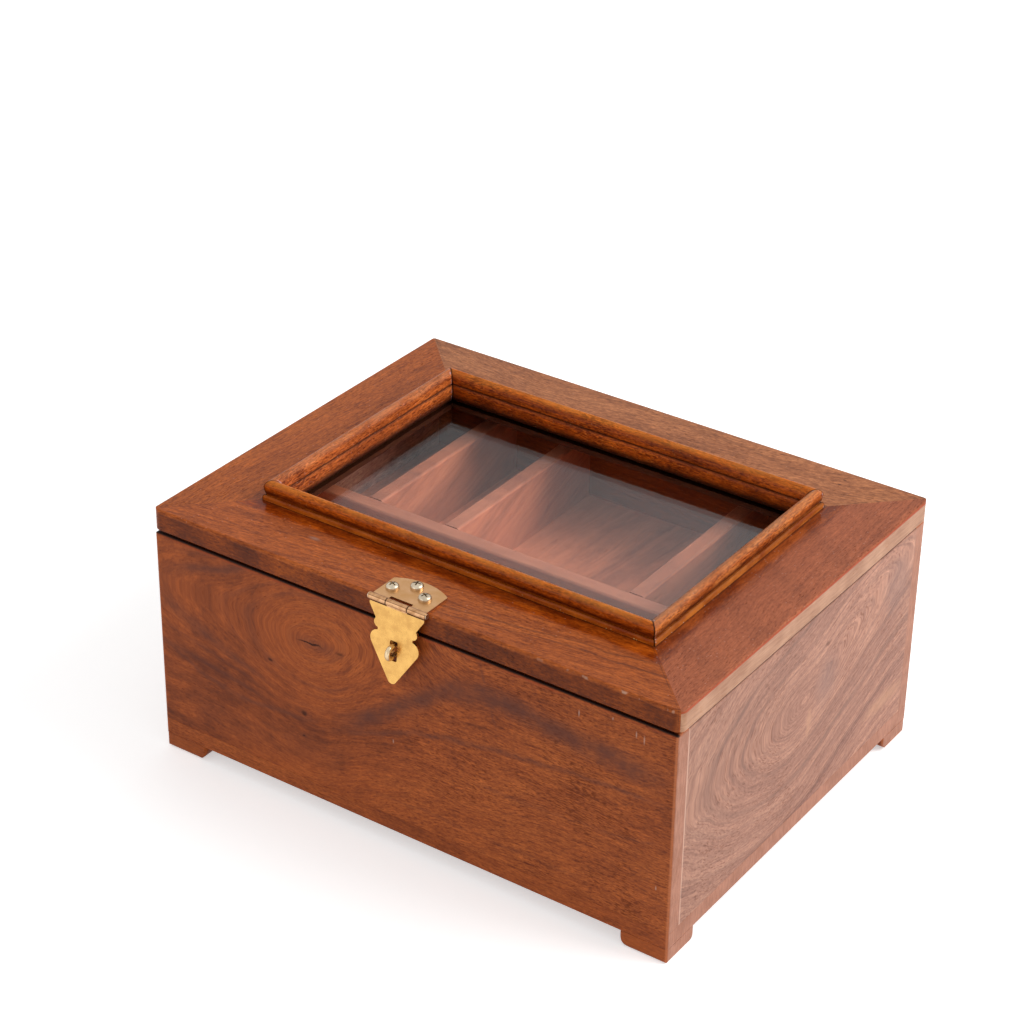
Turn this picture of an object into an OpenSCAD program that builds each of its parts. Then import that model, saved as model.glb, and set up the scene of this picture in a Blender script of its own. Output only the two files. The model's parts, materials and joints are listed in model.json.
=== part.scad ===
// Tea bag organizer box: hinged lid with a glass window, divided inside,
// hasp and staple at the front. Millimetres, +Z up, origin on the rest plane
// under the middle of the outer bounds.

/* [Body] */
// Outside width of the body
body_width = 253; // [180:1:360]
// Outside depth of the body
body_depth = 195.5; // [150:0.5:280]
// Height of the walls above the base board
wall_height = 92; // [75:0.5:160]
// Thickness of the four walls
wall_thickness = 7.5; // [6:0.5:10]
// Thickness of the base board
base_thickness = 7.5; // [5:0.5:10]
// Rounding of the wooden boards' long edges
edge_round = 1.2; // [0.6:0.1:1.4]
// Rounding of the base board's edges and of the lid's lower edge
joint_round = 0.3; // [0.2:0.1:0.5]

/* [Feet] */
// Height of the feet
foot_height = 7.3; // [4:0.1:15]
// Foot length along the front
foot_length = 22; // [16:0.5:30]
// Foot length along the side
foot_width = 20; // [16:0.5:30]
// How far the feet stand in from the walls' faces
foot_inset = 0; // [0:0.1:3]
// Corner rounding of a foot
foot_round = 1.5; // [1:0.1:3]
// Curve of a foot's inner lower edges
foot_curve = 6.2; // [3:0.1:6.8]
// Curve of a foot's outer lower edges
foot_end_curve = 2; // [1:0.1:3.5]

/* [Inside] */
// Thickness of the dividers
divider_thickness = 7.5; // [5:0.5:10]
// Depth of the compartments
compartment_depth = 30; // [20:0.5:60]
// Drop from the walls' rim to the dividers' tops
divider_drop = 9.3; // [8:0.1:12]
// Thickness of the compartment floor
floor_thickness = 4; // [3:0.5:8]
// How far the floor's edge is let into the walls
floor_housing = 3; // [1:0.5:4]
// Front compartment's size from the front wall to the long divider
front_row_depth = 71.9; // [40:0.1:95]
// First rear compartment's width, from the left wall
rear_bay_1 = 36.4; // [25:0.1:60]
// Second rear compartment's width
rear_bay_2 = 32.4; // [25:0.1:60]
// Third rear compartment's width
rear_bay_3 = 84.6; // [30:0.1:120]

/* [Lid] */
// How far the lid stands out past the side walls
lid_side_overhang = 1; // [0:0.1:2.5]
// How far the lid stands out past the front and back walls
lid_end_overhang = 0; // [0:0.1:1.5]
// Rounding of the lid's four corners
lid_corner_round = 4; // [1.6:0.1:5]
// Thickness of the lid's boards
lid_thickness = 9.5; // [8.5:0.1:14]
// Space between the walls' rim and the lid, taken up by the hinge leaves
lid_gap = 1.4; // [1.1:0.05:1.6]
// Width of the lid's four boards
lid_board_width = 35.5; // [30:0.5:45]

/* [Moulding] */
// Width of the moulding, from its outer foot to its inner face
moulding_width = 8.4; // [8:0.1:10]
// How far the moulding lies on the lid's boards
moulding_lap = 4.9; // [4:0.1:5.5]
// Height of the moulding's crest above the lid
moulding_crest = 8.6; // [7:0.1:11]
// How far the moulding hangs down into the lid's opening
moulding_hang = 5; // [3:0.1:5.4]
// Thickness of the glass
glass_thickness = 2; // [1.5:0.1:2.5]
// Room round the glass in the opening
glass_play = 0.5; // [0.3:0.1:1]
// Width of the strips that hold the glass
strip_width = 3.4; // [2.5:0.1:3.5]

/* [Hasp] */
// Sideways place of the hasp's middle on the lid
hasp_middle = -0.35; // [-5:0.05:5]
// Length of the hasp's barrel
hasp_length = 27.3; // [24:0.1:32]
// Length of the hasp's middle knuckle
hasp_knuckle = 10.2; // [8:0.1:11]
// Radius of the hasp's barrel
hasp_barrel = 1.45; // [1.3:0.05:1.7]
// Thickness of the hasp's leaf and flap
hasp_sheet = 1; // [0.8:0.1:1.2]
// Barrel's axis in front of the lid's front face
hasp_axis_forward = 1.65; // [1.55:0.05:2.2]
// Width of the leaf on the lid
leaf_width = 25.9; // [23:0.1:30]
// Leaf's length from the barrel's axis to its back corners
leaf_length = 14.8; // [13:0.1:20]
// Rise of the leaf's arched back edge
leaf_arch = 3.8; // [2:0.1:5]
// Flap's length from the barrel's axis to its tip
flap_length = 34; // [32:0.1:37]
// Half width of the flap over the ears at its top
flap_ear_reach = 13.1; // [12:0.1:13.5]
// Height of the ears' straight ends
flap_ear_height = 1; // [0.6:0.1:1.6]
// Half width of the flap's neck, above its small bumps
flap_neck = 9.8; // [9:0.1:10]
// Distance from the barrel's axis at which the ears end in the neck
flap_neck_drop = 8; // [6:0.1:9]
// Half width of the flap between its small bumps and its lobes
flap_waist = 8.4; // [7.6:0.1:9]
// Distance of the flap's small bumps from the barrel's axis
flap_bump_drop = 9.9; // [9.5:0.1:10.3]
// Half width of the flap over its small bumps
flap_bump_reach = 10.4; // [10:0.1:11]
// Radius of the flap's small bumps
flap_bump_radius = 2.1; // [1.9:0.1:2.4]
// Distance of the flap's lobes from the barrel's axis
flap_lobe_drop = 16.9; // [16:0.1:18]
// Half width of the flap over its lobes
flap_lobe_reach = 11.7; // [11:0.1:12.5]
// Radius of the flap's lobes
flap_lobe_radius = 3.8; // [3.4:0.1:4.2]
// Radius of the flap's tip
flap_tip_radius = 2.3; // [1.8:0.1:3]
// Width of the flap's slot
flap_slot = 3.8; // [3:0.1:4.5]
// Distance of the slot's top from the barrel's axis
slot_top = 15.4; // [14.5:0.1:15.8]
// Distance of the slot's bottom from the barrel's axis
slot_bottom = 24.1; // [23.8:0.1:25]

/* [Staple] */
// Height of the staple's middle below the lid's top
staple_drop = 19.3; // [19:0.1:19.7]
// Radius of the staple's wire
staple_wire = 1.1; // [0.8:0.05:1.2]
// Bend radius of the staple's loop
staple_bend = 2.4; // [2:0.1:2.6]
// Reach of the staple's loop from the front wall
staple_reach = 9.55; // [9:0.05:11]
// Width of the staple's plate
staple_plate_width = 14; // [13:0.1:15]
// Height of the staple's plate
staple_plate_height = 8; // [7:0.1:9]
// Thickness of the staple's plate
staple_plate_thickness = 1; // [0.8:0.1:1.4]
// Spacing of the staple's two screws
staple_screw_spacing = 9.2; // [8.6:0.1:9.6]

/* [Screws] */
// Head radius of the hasp's pan-head screws
head_radius = 2.75; // [2.4:0.05:3]
// Head height of the hasp's pan-head screws
head_height = 2.2; // [1.8:0.1:2.5]
// Head radius of the staple's screws
small_head_radius = 1.9; // [1.6:0.05:2]
// Head height of the staple's screws
small_head_height = 2; // [1.6:0.1:2.3]
// Shank radius of all screws
shank_radius = 0.95; // [0.8:0.05:1.1]

/* [Lid hinges] */
// Distance of each hinge's middle from the end of the back wall
hinge_inset = 46.5; // [30:0.5:60]
// Length of each hinge
hinge_length = 25; // [22:0.5:30]
// Width of a hinge leaf from the barrel's axis
hinge_leaf = 9.2; // [8.5:0.1:9.9]
// Thickness of a hinge leaf
hinge_sheet = 0.5; // [0.4:0.05:0.5]
// Radius of a hinge's barrel
hinge_barrel = 1.5; // [1.3:0.05:1.6]
// Barrel's axis behind the lid's back face
hinge_axis_back = 2.6; // [2.4:0.1:3.2]
// Angle at which the lid stops
lid_stop = 105; // [95:1:115]

/* [Hidden] */
$fn = 48;
pin_play = 0.05;
flap_gap = 0.35;
staple_shift = 0.25;
knuckle_play = 0.25;
cut = 1;

wall_base = foot_height + base_thickness;
rim = wall_base + wall_height;
lid_bottom = rim + lid_gap;
lid_top = lid_bottom + lid_thickness;
divider_top = rim - divider_drop;
floor_top = divider_top - compartment_depth;
lid_width = body_width + 2 * lid_side_overhang;
lid_depth = body_depth + 2 * lid_end_overhang;
room_width = body_width - 2 * wall_thickness;
room_depth = body_depth - 2 * wall_thickness;

opening_width = lid_width - 2 * lid_board_width;
opening_depth = lid_depth - 2 * lid_board_width;
glass_top = lid_top - moulding_hang;
glass_bottom = glass_top - glass_thickness;

long_divider_front = -room_depth / 2 + front_row_depth;
bay_depth = room_depth - front_row_depth - divider_thickness;
divider_1 = -room_width / 2 + rear_bay_1;
divider_2 = divider_1 + divider_thickness + rear_bay_2;
divider_3 = divider_2 + divider_thickness + rear_bay_3;

hasp_axis_y = -lid_depth / 2 - hasp_axis_forward;
hasp_axis_z = lid_top + 0.2;
hasp_pin = 0.75;
pin_head = 0.4;
hasp_shank = 7;
leaf_back_y = hasp_axis_y + leaf_length;
leaf_top = lid_top + hasp_sheet;
knuckle_slot = 2.9;
hasp_screws = [[-8.85, 8.3], [-1.15, 14], [6.45, 8.8]];

staple_z = lid_top - staple_drop;
hinge_offset = body_width / 2 - hinge_inset;
flap_top = hasp_barrel + flap_gap;
staple_face_y = -body_depth / 2 - staple_plate_thickness;
staple_x = hasp_middle - staple_shift;
staple_tip_y = -body_depth / 2 - staple_reach;
staple_shank = 6;
lean_room = 0.3;
lean_drop = hasp_axis_z - staple_z - small_head_radius;
lean_out = hasp_axis_y - staple_face_y + small_head_height + lean_room + hasp_sheet / 2;
flap_lean = atan2(lean_out, lean_drop);

hinge_axis_y = lid_depth / 2 + hinge_axis_back;
hinge_axis_z = rim + lid_gap / 2;
hinge_pin = 0.7;
knuckle_length = hinge_length / 3;
barrel_clear = 0.4;
hinge_screw_back = hinge_axis_back + lid_end_overhang + wall_thickness / 2;
hinge_screw_side = 8;
hinge_head_radius = 1.9;
hinge_shank = 6;
stop_thickness = 0.9;
stop_room = 0.3;
stop_meet = 45;
stop_length = (hinge_axis_back + lid_end_overhang - stop_room) / cos(stop_meet) - stop_thickness / 2;
stop_droop = 180 - stop_meet - lid_stop;

front_reach = -staple_tip_y;
back_reach = hinge_axis_y + stop_length * cos(stop_droop) + stop_thickness / 2 * sin(stop_droop);
middle_y = (front_reach - back_reach) / 2;

wood_body = "#8a4a2c";
wood_lid = "#a5613c";
wood_moulding = "#b4602a";
wood_inside = "#b98a6c";
brass = "#c9a66b";
steel = "#c9c6c0";

// ---- shared shapes -------------------------------------------------------

// A rectangle centred on the origin with rounded corners.
module round_rect(w, d, r) {
    square([w - 2 * r, d], center = true);
    square([w, d - 2 * r], center = true);
    for (x = [-1, 1], y = [-1, 1])
        translate([x * (w / 2 - r), y * (d / 2 - r)]) circle(r);
}

// A prism of the child outline along +X, the outline drawn in Y and Z.
module along_x(length) {
    rotate([90, 0, 90]) linear_extrude(length, center = true) children();
}

// A prism of the child outline along Y, the outline drawn in X and Z.
module along_y(length) {
    rotate([90, 0, 0]) linear_extrude(length, center = true) children();
}

// A board centred in X and Y on z = 0 with all its edges rounded.
module soft_board(w, d, h, r = edge_round) {
    translate([0, 0, h / 2]) intersection() {
        linear_extrude(h, center = true) round_rect(w, d, r);
        along_x(w) round_rect(d, h, r);
        along_y(d) round_rect(w, h, r);
    }
}

// The wedge in which one side of a mitred frame lies: the front side,
// with its mitres meeting the frame's outer corners.
module mitre_wedge(frame_width, frame_depth, side_width, z0, h) {
    outer = frame_width / 2 + cut;
    front = -frame_depth / 2 - cut;
    inner = outer - side_width - 2 * cut;
    translate([0, 0, z0]) linear_extrude(h)
        polygon([[-outer, front], [outer, front],
                 [inner, front + side_width + 2 * cut],
                 [-inner, front + side_width + 2 * cut]]);
}

// One side of a mitred frame: the child is its straight length at the front.
module mitred(frame_width, frame_depth, side_width, z0, h) {
    intersection() {
        children();
        mitre_wedge(frame_width, frame_depth, side_width, z0, h);
    }
}

// A pan-head screw seen with its head up, the seat at z = 0.
module pan_screw(head_r, head_h, shank_h) {
    edge_h = head_h * 0.4;
    dome_h = head_h - edge_h;
    dome_r = (head_r * head_r + dome_h * dome_h) / (2 * dome_h);
    difference() {
        union() {
            cylinder(h = edge_h, r = head_r);
            intersection() {
                translate([0, 0, edge_h]) cylinder(h = dome_h + cut, r = head_r);
                translate([0, 0, head_h - dome_r]) sphere(dome_r);
            }
        }
        cross_recess(head_r, head_h);
    }
    translate([0, 0, -shank_h]) cylinder(h = shank_h, r = shank_radius);
}

// The cross-shaped drive recess of a pan head.
module cross_recess(head_r, head_h) {
    for (turn = [0, 90])
        rotate(turn) translate([0, 0, head_h])
            cube([head_r * 1.15, head_r * 0.26, head_h], center = true);
}

// ---- box body ------------------------------------------------------------

module base_board() {
    color(wood_body) translate([0, middle_y, foot_height]) intersection() {
        soft_board(body_width, body_depth, base_thickness, joint_round);
        linear_extrude(base_thickness) round_rect(body_width, body_depth, edge_round);
    }
}

// The housing that takes the compartment floor's edge.
module floor_housing_cut() {
    translate([0, 0, floor_top - floor_thickness / 2])
        cube([room_width + 2 * floor_housing, room_depth + 2 * floor_housing, floor_thickness],
            center = true);
}

// A board on z = 0, rounded at its top and on one or both of its long faces,
// and left square at its foot, at its ends or at its inner face, where it meets others.
module wall_board(w, d, extra_w, extra_d, shift_d) {
    intersection() {
        translate([0, shift_d, -edge_round])
            soft_board(w + extra_w, d + extra_d, wall_height + edge_round);
        translate([-w / 2, -d / 2, 0]) cube([w, d, wall_height]);
    }
}

// A wall as long as the body; end is -1 at the front and 1 at the back.
module long_wall(end) {
    difference() {
        translate([0, end * (body_depth - wall_thickness) / 2, wall_base])
            wall_board(body_width, wall_thickness, 0, edge_round, -end * edge_round / 2);
        floor_housing_cut();
    }
}

module front_panel() {
    color(wood_body) translate([0, middle_y, 0]) difference() {
        long_wall(-1);
        staple_holes();
    }
}

module back_panel() {
    color(wood_body) translate([0, middle_y, 0]) difference() {
        long_wall(1);
        hinge_body_screw_shapes();
    }
}

// A side wall, standing between the front and back walls.
module side_wall(side) {
    color(wood_body) translate([0, middle_y, 0]) difference() {
        translate([side * (body_width - wall_thickness) / 2, 0, wall_base])
            wall_board(wall_thickness, room_depth, 0, 2 * edge_round, 0);
        floor_housing_cut();
    }
}

module left_panel() { side_wall(-1); }

module right_panel() { side_wall(1); }

// A foot under one corner of the base board; side and end are -1 or 1.
module foot(side, end) {
    color(wood_body)
    translate([side * (body_width / 2 - foot_inset), middle_y + end * (body_depth / 2 - foot_inset), 0])
    intersection() {
        translate([-side * foot_length / 2, -end * foot_width / 2, 0])
            linear_extrude(foot_height) round_rect(foot_length, foot_width, foot_round);
        along_y(3 * foot_width) mirror([side > 0 ? 1 : 0, 0]) foot_outline(foot_length);
        along_x(3 * foot_length) mirror([end > 0 ? 1 : 0, 0]) foot_outline(foot_width);
    }
}

// A foot's outline from one side, its outer end at x = 0 and its lower edges curved.
module foot_outline(w) {
    upper = max(foot_curve, foot_end_curve);
    translate([foot_end_curve, 0]) square([w - foot_curve - foot_end_curve, foot_height]);
    translate([0, upper]) square([w, foot_height - upper]);
    translate([0, foot_end_curve]) square([w / 2, foot_height - foot_end_curve]);
    translate([foot_end_curve, foot_end_curve]) circle(foot_end_curve);
    translate([w - foot_curve, foot_curve]) circle(foot_curve);
}

module foot_front_left() { foot(-1, -1); }

module foot_front_right() { foot(1, -1); }

module foot_back_left() { foot(-1, 1); }

module foot_back_right() { foot(1, 1); }

// ---- inside --------------------------------------------------------------

module compartment_floor() {
    color(wood_inside) translate([0, middle_y, 0]) floor_housing_cut();
}

// A divider's section: its two upper edges rounded.
module divider_section() {
    w = divider_thickness;
    h = compartment_depth;
    translate([-w / 2, 0]) square([w, h - edge_round]);
    translate([-w / 2 + edge_round, 0]) square([w - 2 * edge_round, h]);
    for (x = [-1, 1]) translate([x * (w / 2 - edge_round), h - edge_round]) circle(edge_round);
}

module long_divider() {
    color(wood_inside)
    translate([0, middle_y + long_divider_front + divider_thickness / 2, floor_top])
        along_x(room_width) divider_section();
}

// A divider from the long divider to the back wall, its left face at x.
module cross_divider(x) {
    color(wood_inside)
    translate([x + divider_thickness / 2, middle_y + room_depth / 2 - bay_depth / 2, floor_top])
        along_y(bay_depth) divider_section();
}

module cross_divider_left() { cross_divider(divider_1); }

module cross_divider_middle() { cross_divider(divider_2); }

module cross_divider_right() { cross_divider(divider_3); }

// ---- staple --------------------------------------------------------------

// Puts the child, drawn round the staple's middle with +Z outward, on the wall.
module at_staple(out = 0) {
    translate([staple_x, -body_depth / 2 - out, staple_z]) rotate([90, 0, 0]) children();
}

// The two places of the staple's screws.
module staple_screw_places() {
    for (x = [-1, 1]) translate([x * staple_screw_spacing / 2, 0, 0]) children();
}

// The staple's bent wire, its legs ending on the wall.
module staple_wire_shape() {
    leg = staple_reach - staple_wire - staple_bend;
    for (y = [-1, 1]) translate([0, y * staple_bend, 0]) cylinder(h = leg, r = staple_wire);
    translate([0, 0, leg]) rotate([90, 0, 90])
        rotate_extrude(angle = 180) translate([staple_bend, 0]) circle(staple_wire);
}

module staple_holes() {
    at_staple(-staple_shank) staple_screw_places()
        cylinder(h = staple_shank + cut, r = shank_radius);
}

module staple_plate() {
    color(brass) translate([0, middle_y, 0]) at_staple() difference() {
        linear_extrude(staple_plate_thickness)
            round_rect(staple_plate_width, staple_plate_height, staple_plate_height / 4);
        staple_wire_shape();
        staple_screw_places() translate([0, 0, -cut])
            cylinder(h = staple_plate_thickness + 2 * cut, r = shank_radius);
    }
}

module staple_loop() {
    color(brass) translate([0, middle_y, 0]) at_staple() staple_wire_shape();
}

module staple_screws() {
    color(steel) translate([0, middle_y, 0]) at_staple(staple_plate_thickness)
        staple_screw_places()
            pan_screw(small_head_radius, small_head_height, staple_plate_thickness + staple_shank);
}

// ---- lid hinges ----------------------------------------------------------

// Puts the child, drawn round a hinge's middle on the barrel's axis, at a side.
module at_hinge(side) {
    translate([side * hinge_offset, hinge_axis_y, hinge_axis_z]) children();
}

// A rod along X, centred.
module rod_x(length, r) {
    rotate([0, 90, 0]) cylinder(h = length, r = r, center = true);
}

// The middle knuckle's stretch of a hinge, with play at each end.
module middle_stretch(play) {
    cube([knuckle_length + 2 * play, 3 * hinge_leaf, 4 * hinge_barrel], center = true);
}

// A hinge leaf's sheet and full barrel before its knuckles are cut apart.
module leaf_and_barrel(z0) {
    rod_x(hinge_length, hinge_barrel);
    translate([-hinge_length / 2, -hinge_leaf, z0]) cube([hinge_length, hinge_leaf, hinge_sheet]);
}

// The sheet kept where the other leaf has its knuckles.
module set_back_sheet(z0) {
    back = hinge_barrel + barrel_clear;
    translate([-hinge_length / 2, -hinge_leaf, z0])
        cube([hinge_length, hinge_leaf - back, hinge_sheet]);
}

// The two places of a leaf's screws.
module hinge_screw_places() {
    for (x = [-1, 1]) translate([x * hinge_screw_side, -hinge_screw_back, 0]) children();
}

// A countersunk screw, its flat head at z = 0 facing up.
module flat_screw() {
    taper = hinge_head_radius - shank_radius;
    translate([0, 0, -taper]) cylinder(h = taper, r1 = shank_radius, r2 = hinge_head_radius);
    translate([0, 0, -hinge_shank]) cylinder(h = hinge_shank - taper, r = shank_radius);
}

// All countersunk screws of the body leaves.
module hinge_body_screw_shapes() {
    for (side = [-1, 1]) at_hinge(side) hinge_screw_places()
        translate([0, 0, hinge_sheet - lid_gap / 2]) flat_screw();
}

// All countersunk screws of the lid leaves.
module hinge_lid_screw_shapes() {
    for (side = [-1, 1]) at_hinge(side) hinge_screw_places()
        translate([0, 0, lid_gap / 2 - hinge_sheet]) rotate([180, 0, 0]) flat_screw();
}

module hinge_body_leaf(side) {
    z0 = -lid_gap / 2;
    color(brass) translate([0, middle_y, 0]) difference() {
        at_hinge(side) difference() {
            union() {
                difference() {
                    leaf_and_barrel(z0);
                    middle_stretch(knuckle_play);
                }
                set_back_sheet(z0);
            }
            rod_x(hinge_length + cut, hinge_pin + pin_play);
        }
        hinge_body_screw_shapes();
    }
}

module hinge_body_leaf_left() { hinge_body_leaf(-1); }

module hinge_body_leaf_right() { hinge_body_leaf(1); }

module hinge_body_screws() {
    color(steel) translate([0, middle_y, 0]) hinge_body_screw_shapes();
}

// The heel that stops the open lid on the back wall.
module stop_heel() {
    rotate([-stop_droop, 0, 0])
        translate([-knuckle_length / 2, 0, -stop_thickness / 2])
            cube([knuckle_length, stop_length, stop_thickness]);
}

module hinge_lid_leaf(side) {
    z0 = lid_gap / 2 - hinge_sheet;
    color(brass) translate([0, middle_y, 0]) difference() {
        at_hinge(side) difference() {
            union() {
                intersection() {
                    union() {
                        leaf_and_barrel(z0);
                        stop_heel();
                    }
                    middle_stretch(0);
                }
                set_back_sheet(z0);
            }
            rod_x(hinge_length + cut, hinge_pin + pin_play);
        }
        hinge_lid_screw_shapes();
    }
}

module hinge_lid_leaf_left() { hinge_lid_leaf(-1); }

module hinge_lid_leaf_right() { hinge_lid_leaf(1); }

module hinge_lid_screws() {
    color(steel) translate([0, middle_y, 0]) hinge_lid_screw_shapes();
}

// A hinge pin with a small head at each end.
module headed_pin(length, r, head_r) {
    rod_x(length, r);
    for (x = [-1, 1]) translate([x * (length + pin_head) / 2, 0, 0]) rod_x(pin_head, head_r);
}

module hinge_pin_at(side) {
    color(steel) translate([0, middle_y, 0]) at_hinge(side)
        headed_pin(hinge_length, hinge_pin, hinge_pin * 1.5);
}

module hinge_pin_left() { hinge_pin_at(-1); }

module hinge_pin_right() { hinge_pin_at(1); }

// ---- lid -----------------------------------------------------------------

// A lid board's section: x runs inward from its outer face, y up from its underside.
module lid_board_section() {
    r = edge_round;
    low = joint_round;
    translate([r, 0]) square([lid_board_width - r, lid_thickness]);
    translate([low, 0]) square([r, lid_thickness - r]);
    translate([0, low]) square([r, lid_thickness - r - low]);
    translate([low, low]) circle(low);
    translate([r, lid_thickness - r]) circle(r);
}

// One board of the lid; turn 0 is the front, 90 the right side.
module lid_board(turn) {
    w = turn % 180 == 0 ? lid_width : lid_depth;
    d = turn % 180 == 0 ? lid_depth : lid_width;
    rotate(turn) intersection() {
        mitred(w, d, lid_board_width, lid_bottom - cut, lid_thickness + 2 * cut)
            translate([0, -d / 2, lid_bottom]) along_x(w) lid_board_section();
        translate([0, 0, lid_bottom - cut])
            linear_extrude(lid_thickness + 2 * cut) round_rect(w, d, lid_corner_round);
    }
}

module lid_front_board() {
    color(wood_lid) translate([0, middle_y, 0]) difference() {
        lid_board(0);
        hasp_screw_places() translate([0, 0, -hasp_shank])
            cylinder(h = hasp_shank + cut, r = shank_radius);
    }
}

module lid_back_board() {
    color(wood_lid) translate([0, middle_y, 0]) difference() {
        lid_board(180);
        hinge_lid_screw_shapes();
    }
}

module lid_left_board() { color(wood_lid) translate([0, middle_y, 0]) lid_board(270); }

module lid_right_board() { color(wood_lid) translate([0, middle_y, 0]) lid_board(90); }

// ---- moulding ------------------------------------------------------------

// The moulding's section: x runs inward from its outer foot, y up from the lid.
module moulding_section() {
    foot_r = 1.1;
    groove = 2;
    crest_r = 2.8;
    inner_drop = 5.6;
    bulge = 0.7;
    crest_in = moulding_width / 2;
    quirk_in = moulding_width - bulge;
    quirk_y = moulding_crest - inner_drop;
    inner_in = quirk_in - crest_in;
    inner_r = (inner_in * inner_in + inner_drop * inner_drop) / (2 * inner_drop);
    bead_h = quirk_y + moulding_hang;
    bead_r = (bead_h * bead_h / 4 + bulge * bulge) / (2 * bulge);
    // outer foot bead
    translate([foot_r, foot_r]) circle(foot_r);
    square([foot_r, foot_r]);
    translate([foot_r, 0]) square([groove, 2 * foot_r]);
    // stem between the outer and inner beads
    translate([groove, 0]) square([quirk_in - groove, moulding_crest - crest_r]);
    // outer half of the crest
    intersection() {
        translate([crest_in, moulding_crest - crest_r]) circle(crest_r);
        square([crest_in, moulding_crest]);
    }
    // inner half of the crest, falling to the quirk
    intersection() {
        translate([crest_in, moulding_crest - inner_r]) circle(inner_r);
        translate([crest_in, quirk_y]) square([moulding_width, inner_drop]);
    }
    // lower bead, hanging into the opening
    intersection() {
        translate([moulding_width - bead_r, (quirk_y - moulding_hang) / 2]) circle(bead_r);
        translate([moulding_lap, -moulding_hang]) square([moulding_width, bead_h]);
    }
}

// One length of moulding; turn 0 is the front, 90 the right side.
module moulding(turn) {
    frame_w = (turn % 180 == 0 ? opening_width : opening_depth) + 2 * moulding_lap;
    frame_d = (turn % 180 == 0 ? opening_depth : opening_width) + 2 * moulding_lap;
    color(wood_moulding) translate([0, middle_y, 0]) rotate(turn)
        mitred(frame_w, frame_d, moulding_width, glass_top - cut,
               moulding_crest + moulding_hang + 2 * cut)
            translate([0, -frame_d / 2, lid_top]) along_x(frame_w) moulding_section();
}

module moulding_front() { moulding(0); }

module moulding_right() { moulding(90); }

module moulding_back() { moulding(180); }

module moulding_left() { moulding(270); }

module glass_pane() {
    color("#cfe0dd") translate([0, middle_y, (glass_top + glass_bottom) / 2])
        cube([opening_width - 2 * glass_play, opening_depth - 2 * glass_play, glass_thickness],
            center = true);
}

// One strip under the glass; turn 0 is the front, 90 the right side.
module glass_strip(turn) {
    w = turn % 180 == 0 ? opening_width : opening_depth;
    d = turn % 180 == 0 ? opening_depth : opening_width;
    h = glass_bottom - lid_bottom;
    color(wood_lid) translate([0, middle_y, 0]) rotate(turn)
        mitred(w, d, strip_width, lid_bottom - cut, h + 2 * cut)
            translate([0, (strip_width - d) / 2, lid_bottom + h / 2])
                cube([w, strip_width, h], center = true);
}

module glass_strip_front() { glass_strip(0); }

module glass_strip_right() { glass_strip(90); }

module glass_strip_back() { glass_strip(180); }

module glass_strip_left() { glass_strip(270); }

// ---- hasp ----------------------------------------------------------------

// The three places of the leaf's screws on the lid's top.
module hasp_screw_places() {
    for (place = hasp_screws)
        translate([hasp_middle + place[0], hasp_axis_y + place[1], lid_top]) children();
}

// The leaf's flat outline, the barrel's axis along its front.
module leaf_outline() {
    half = leaf_width / 2;
    arch_r = (half * half + leaf_arch * leaf_arch) / (2 * leaf_arch);
    intersection() {
        translate([-half, 0]) square([leaf_width, leaf_length + leaf_arch]);
        translate([0, leaf_length + leaf_arch - arch_r]) circle(arch_r);
    }
}

module hasp_leaf() {
    gap = hasp_knuckle + 2 * knuckle_play;
    color(brass) translate([0, middle_y, 0]) difference() {
        translate([hasp_middle, hasp_axis_y, 0]) difference() {
            union() {
                translate([0, 0, lid_top]) linear_extrude(hasp_sheet) leaf_outline();
                translate([0, 0, hasp_axis_z]) rod_x(hasp_length, hasp_barrel);
            }
            translate([-gap / 2, -2 * hasp_barrel, lid_top - hasp_barrel - cut])
                cube([gap, 2 * hasp_barrel + knuckle_slot, 4 * hasp_barrel]);
            translate([0, 0, hasp_axis_z]) rod_x(hasp_length + cut, hasp_pin + pin_play);
        }
        hasp_screw_places() cylinder(h = 2 * hasp_sheet, r = shank_radius);
    }
}

module hasp_pin() {
    color(steel) translate([hasp_middle, middle_y + hasp_axis_y, hasp_axis_z])
        headed_pin(hasp_length, hasp_pin, hasp_pin * 1.5);
}

module hasp_screws() {
    color(steel) translate([0, middle_y, 0]) hasp_screw_places()
        translate([0, 0, hasp_sheet])
            pan_screw(head_radius, head_height, hasp_sheet + hasp_shank);
}

// Half of the flap's outline; x runs outward, y down from the barrel's axis.
module flap_half() {
    bump = [flap_bump_reach - flap_bump_radius, flap_bump_drop];
    lobe = [flap_lobe_reach - flap_lobe_radius, flap_lobe_drop];
    tip = [0, flap_length - flap_tip_radius];
    run = tip - lobe;
    turn = atan2(run[1], run[0])
        - acos((flap_lobe_radius - flap_tip_radius) / norm(run));
    side = [cos(turn), sin(turn)];
    difference() {
        union() {
            polygon([[0, flap_top], [flap_ear_reach, flap_top],
                     [flap_ear_reach, flap_top + flap_ear_height],
                     [flap_neck, flap_neck_drop], [flap_neck, flap_bump_drop],
                     [flap_waist, flap_bump_drop], [flap_waist, flap_lobe_drop],
                     [0, flap_lobe_drop]]);
            translate(bump) circle(flap_bump_radius);
            translate(lobe) circle(flap_lobe_radius);
            translate(tip) circle(flap_tip_radius);
            polygon([[0, flap_lobe_drop], lobe, lobe + flap_lobe_radius * side,
                     tip + flap_tip_radius * side, tip]);
        }
        translate([-2 * flap_tip_radius, 0]) square([2 * flap_tip_radius, 2 * flap_length]);
    }
}

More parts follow.
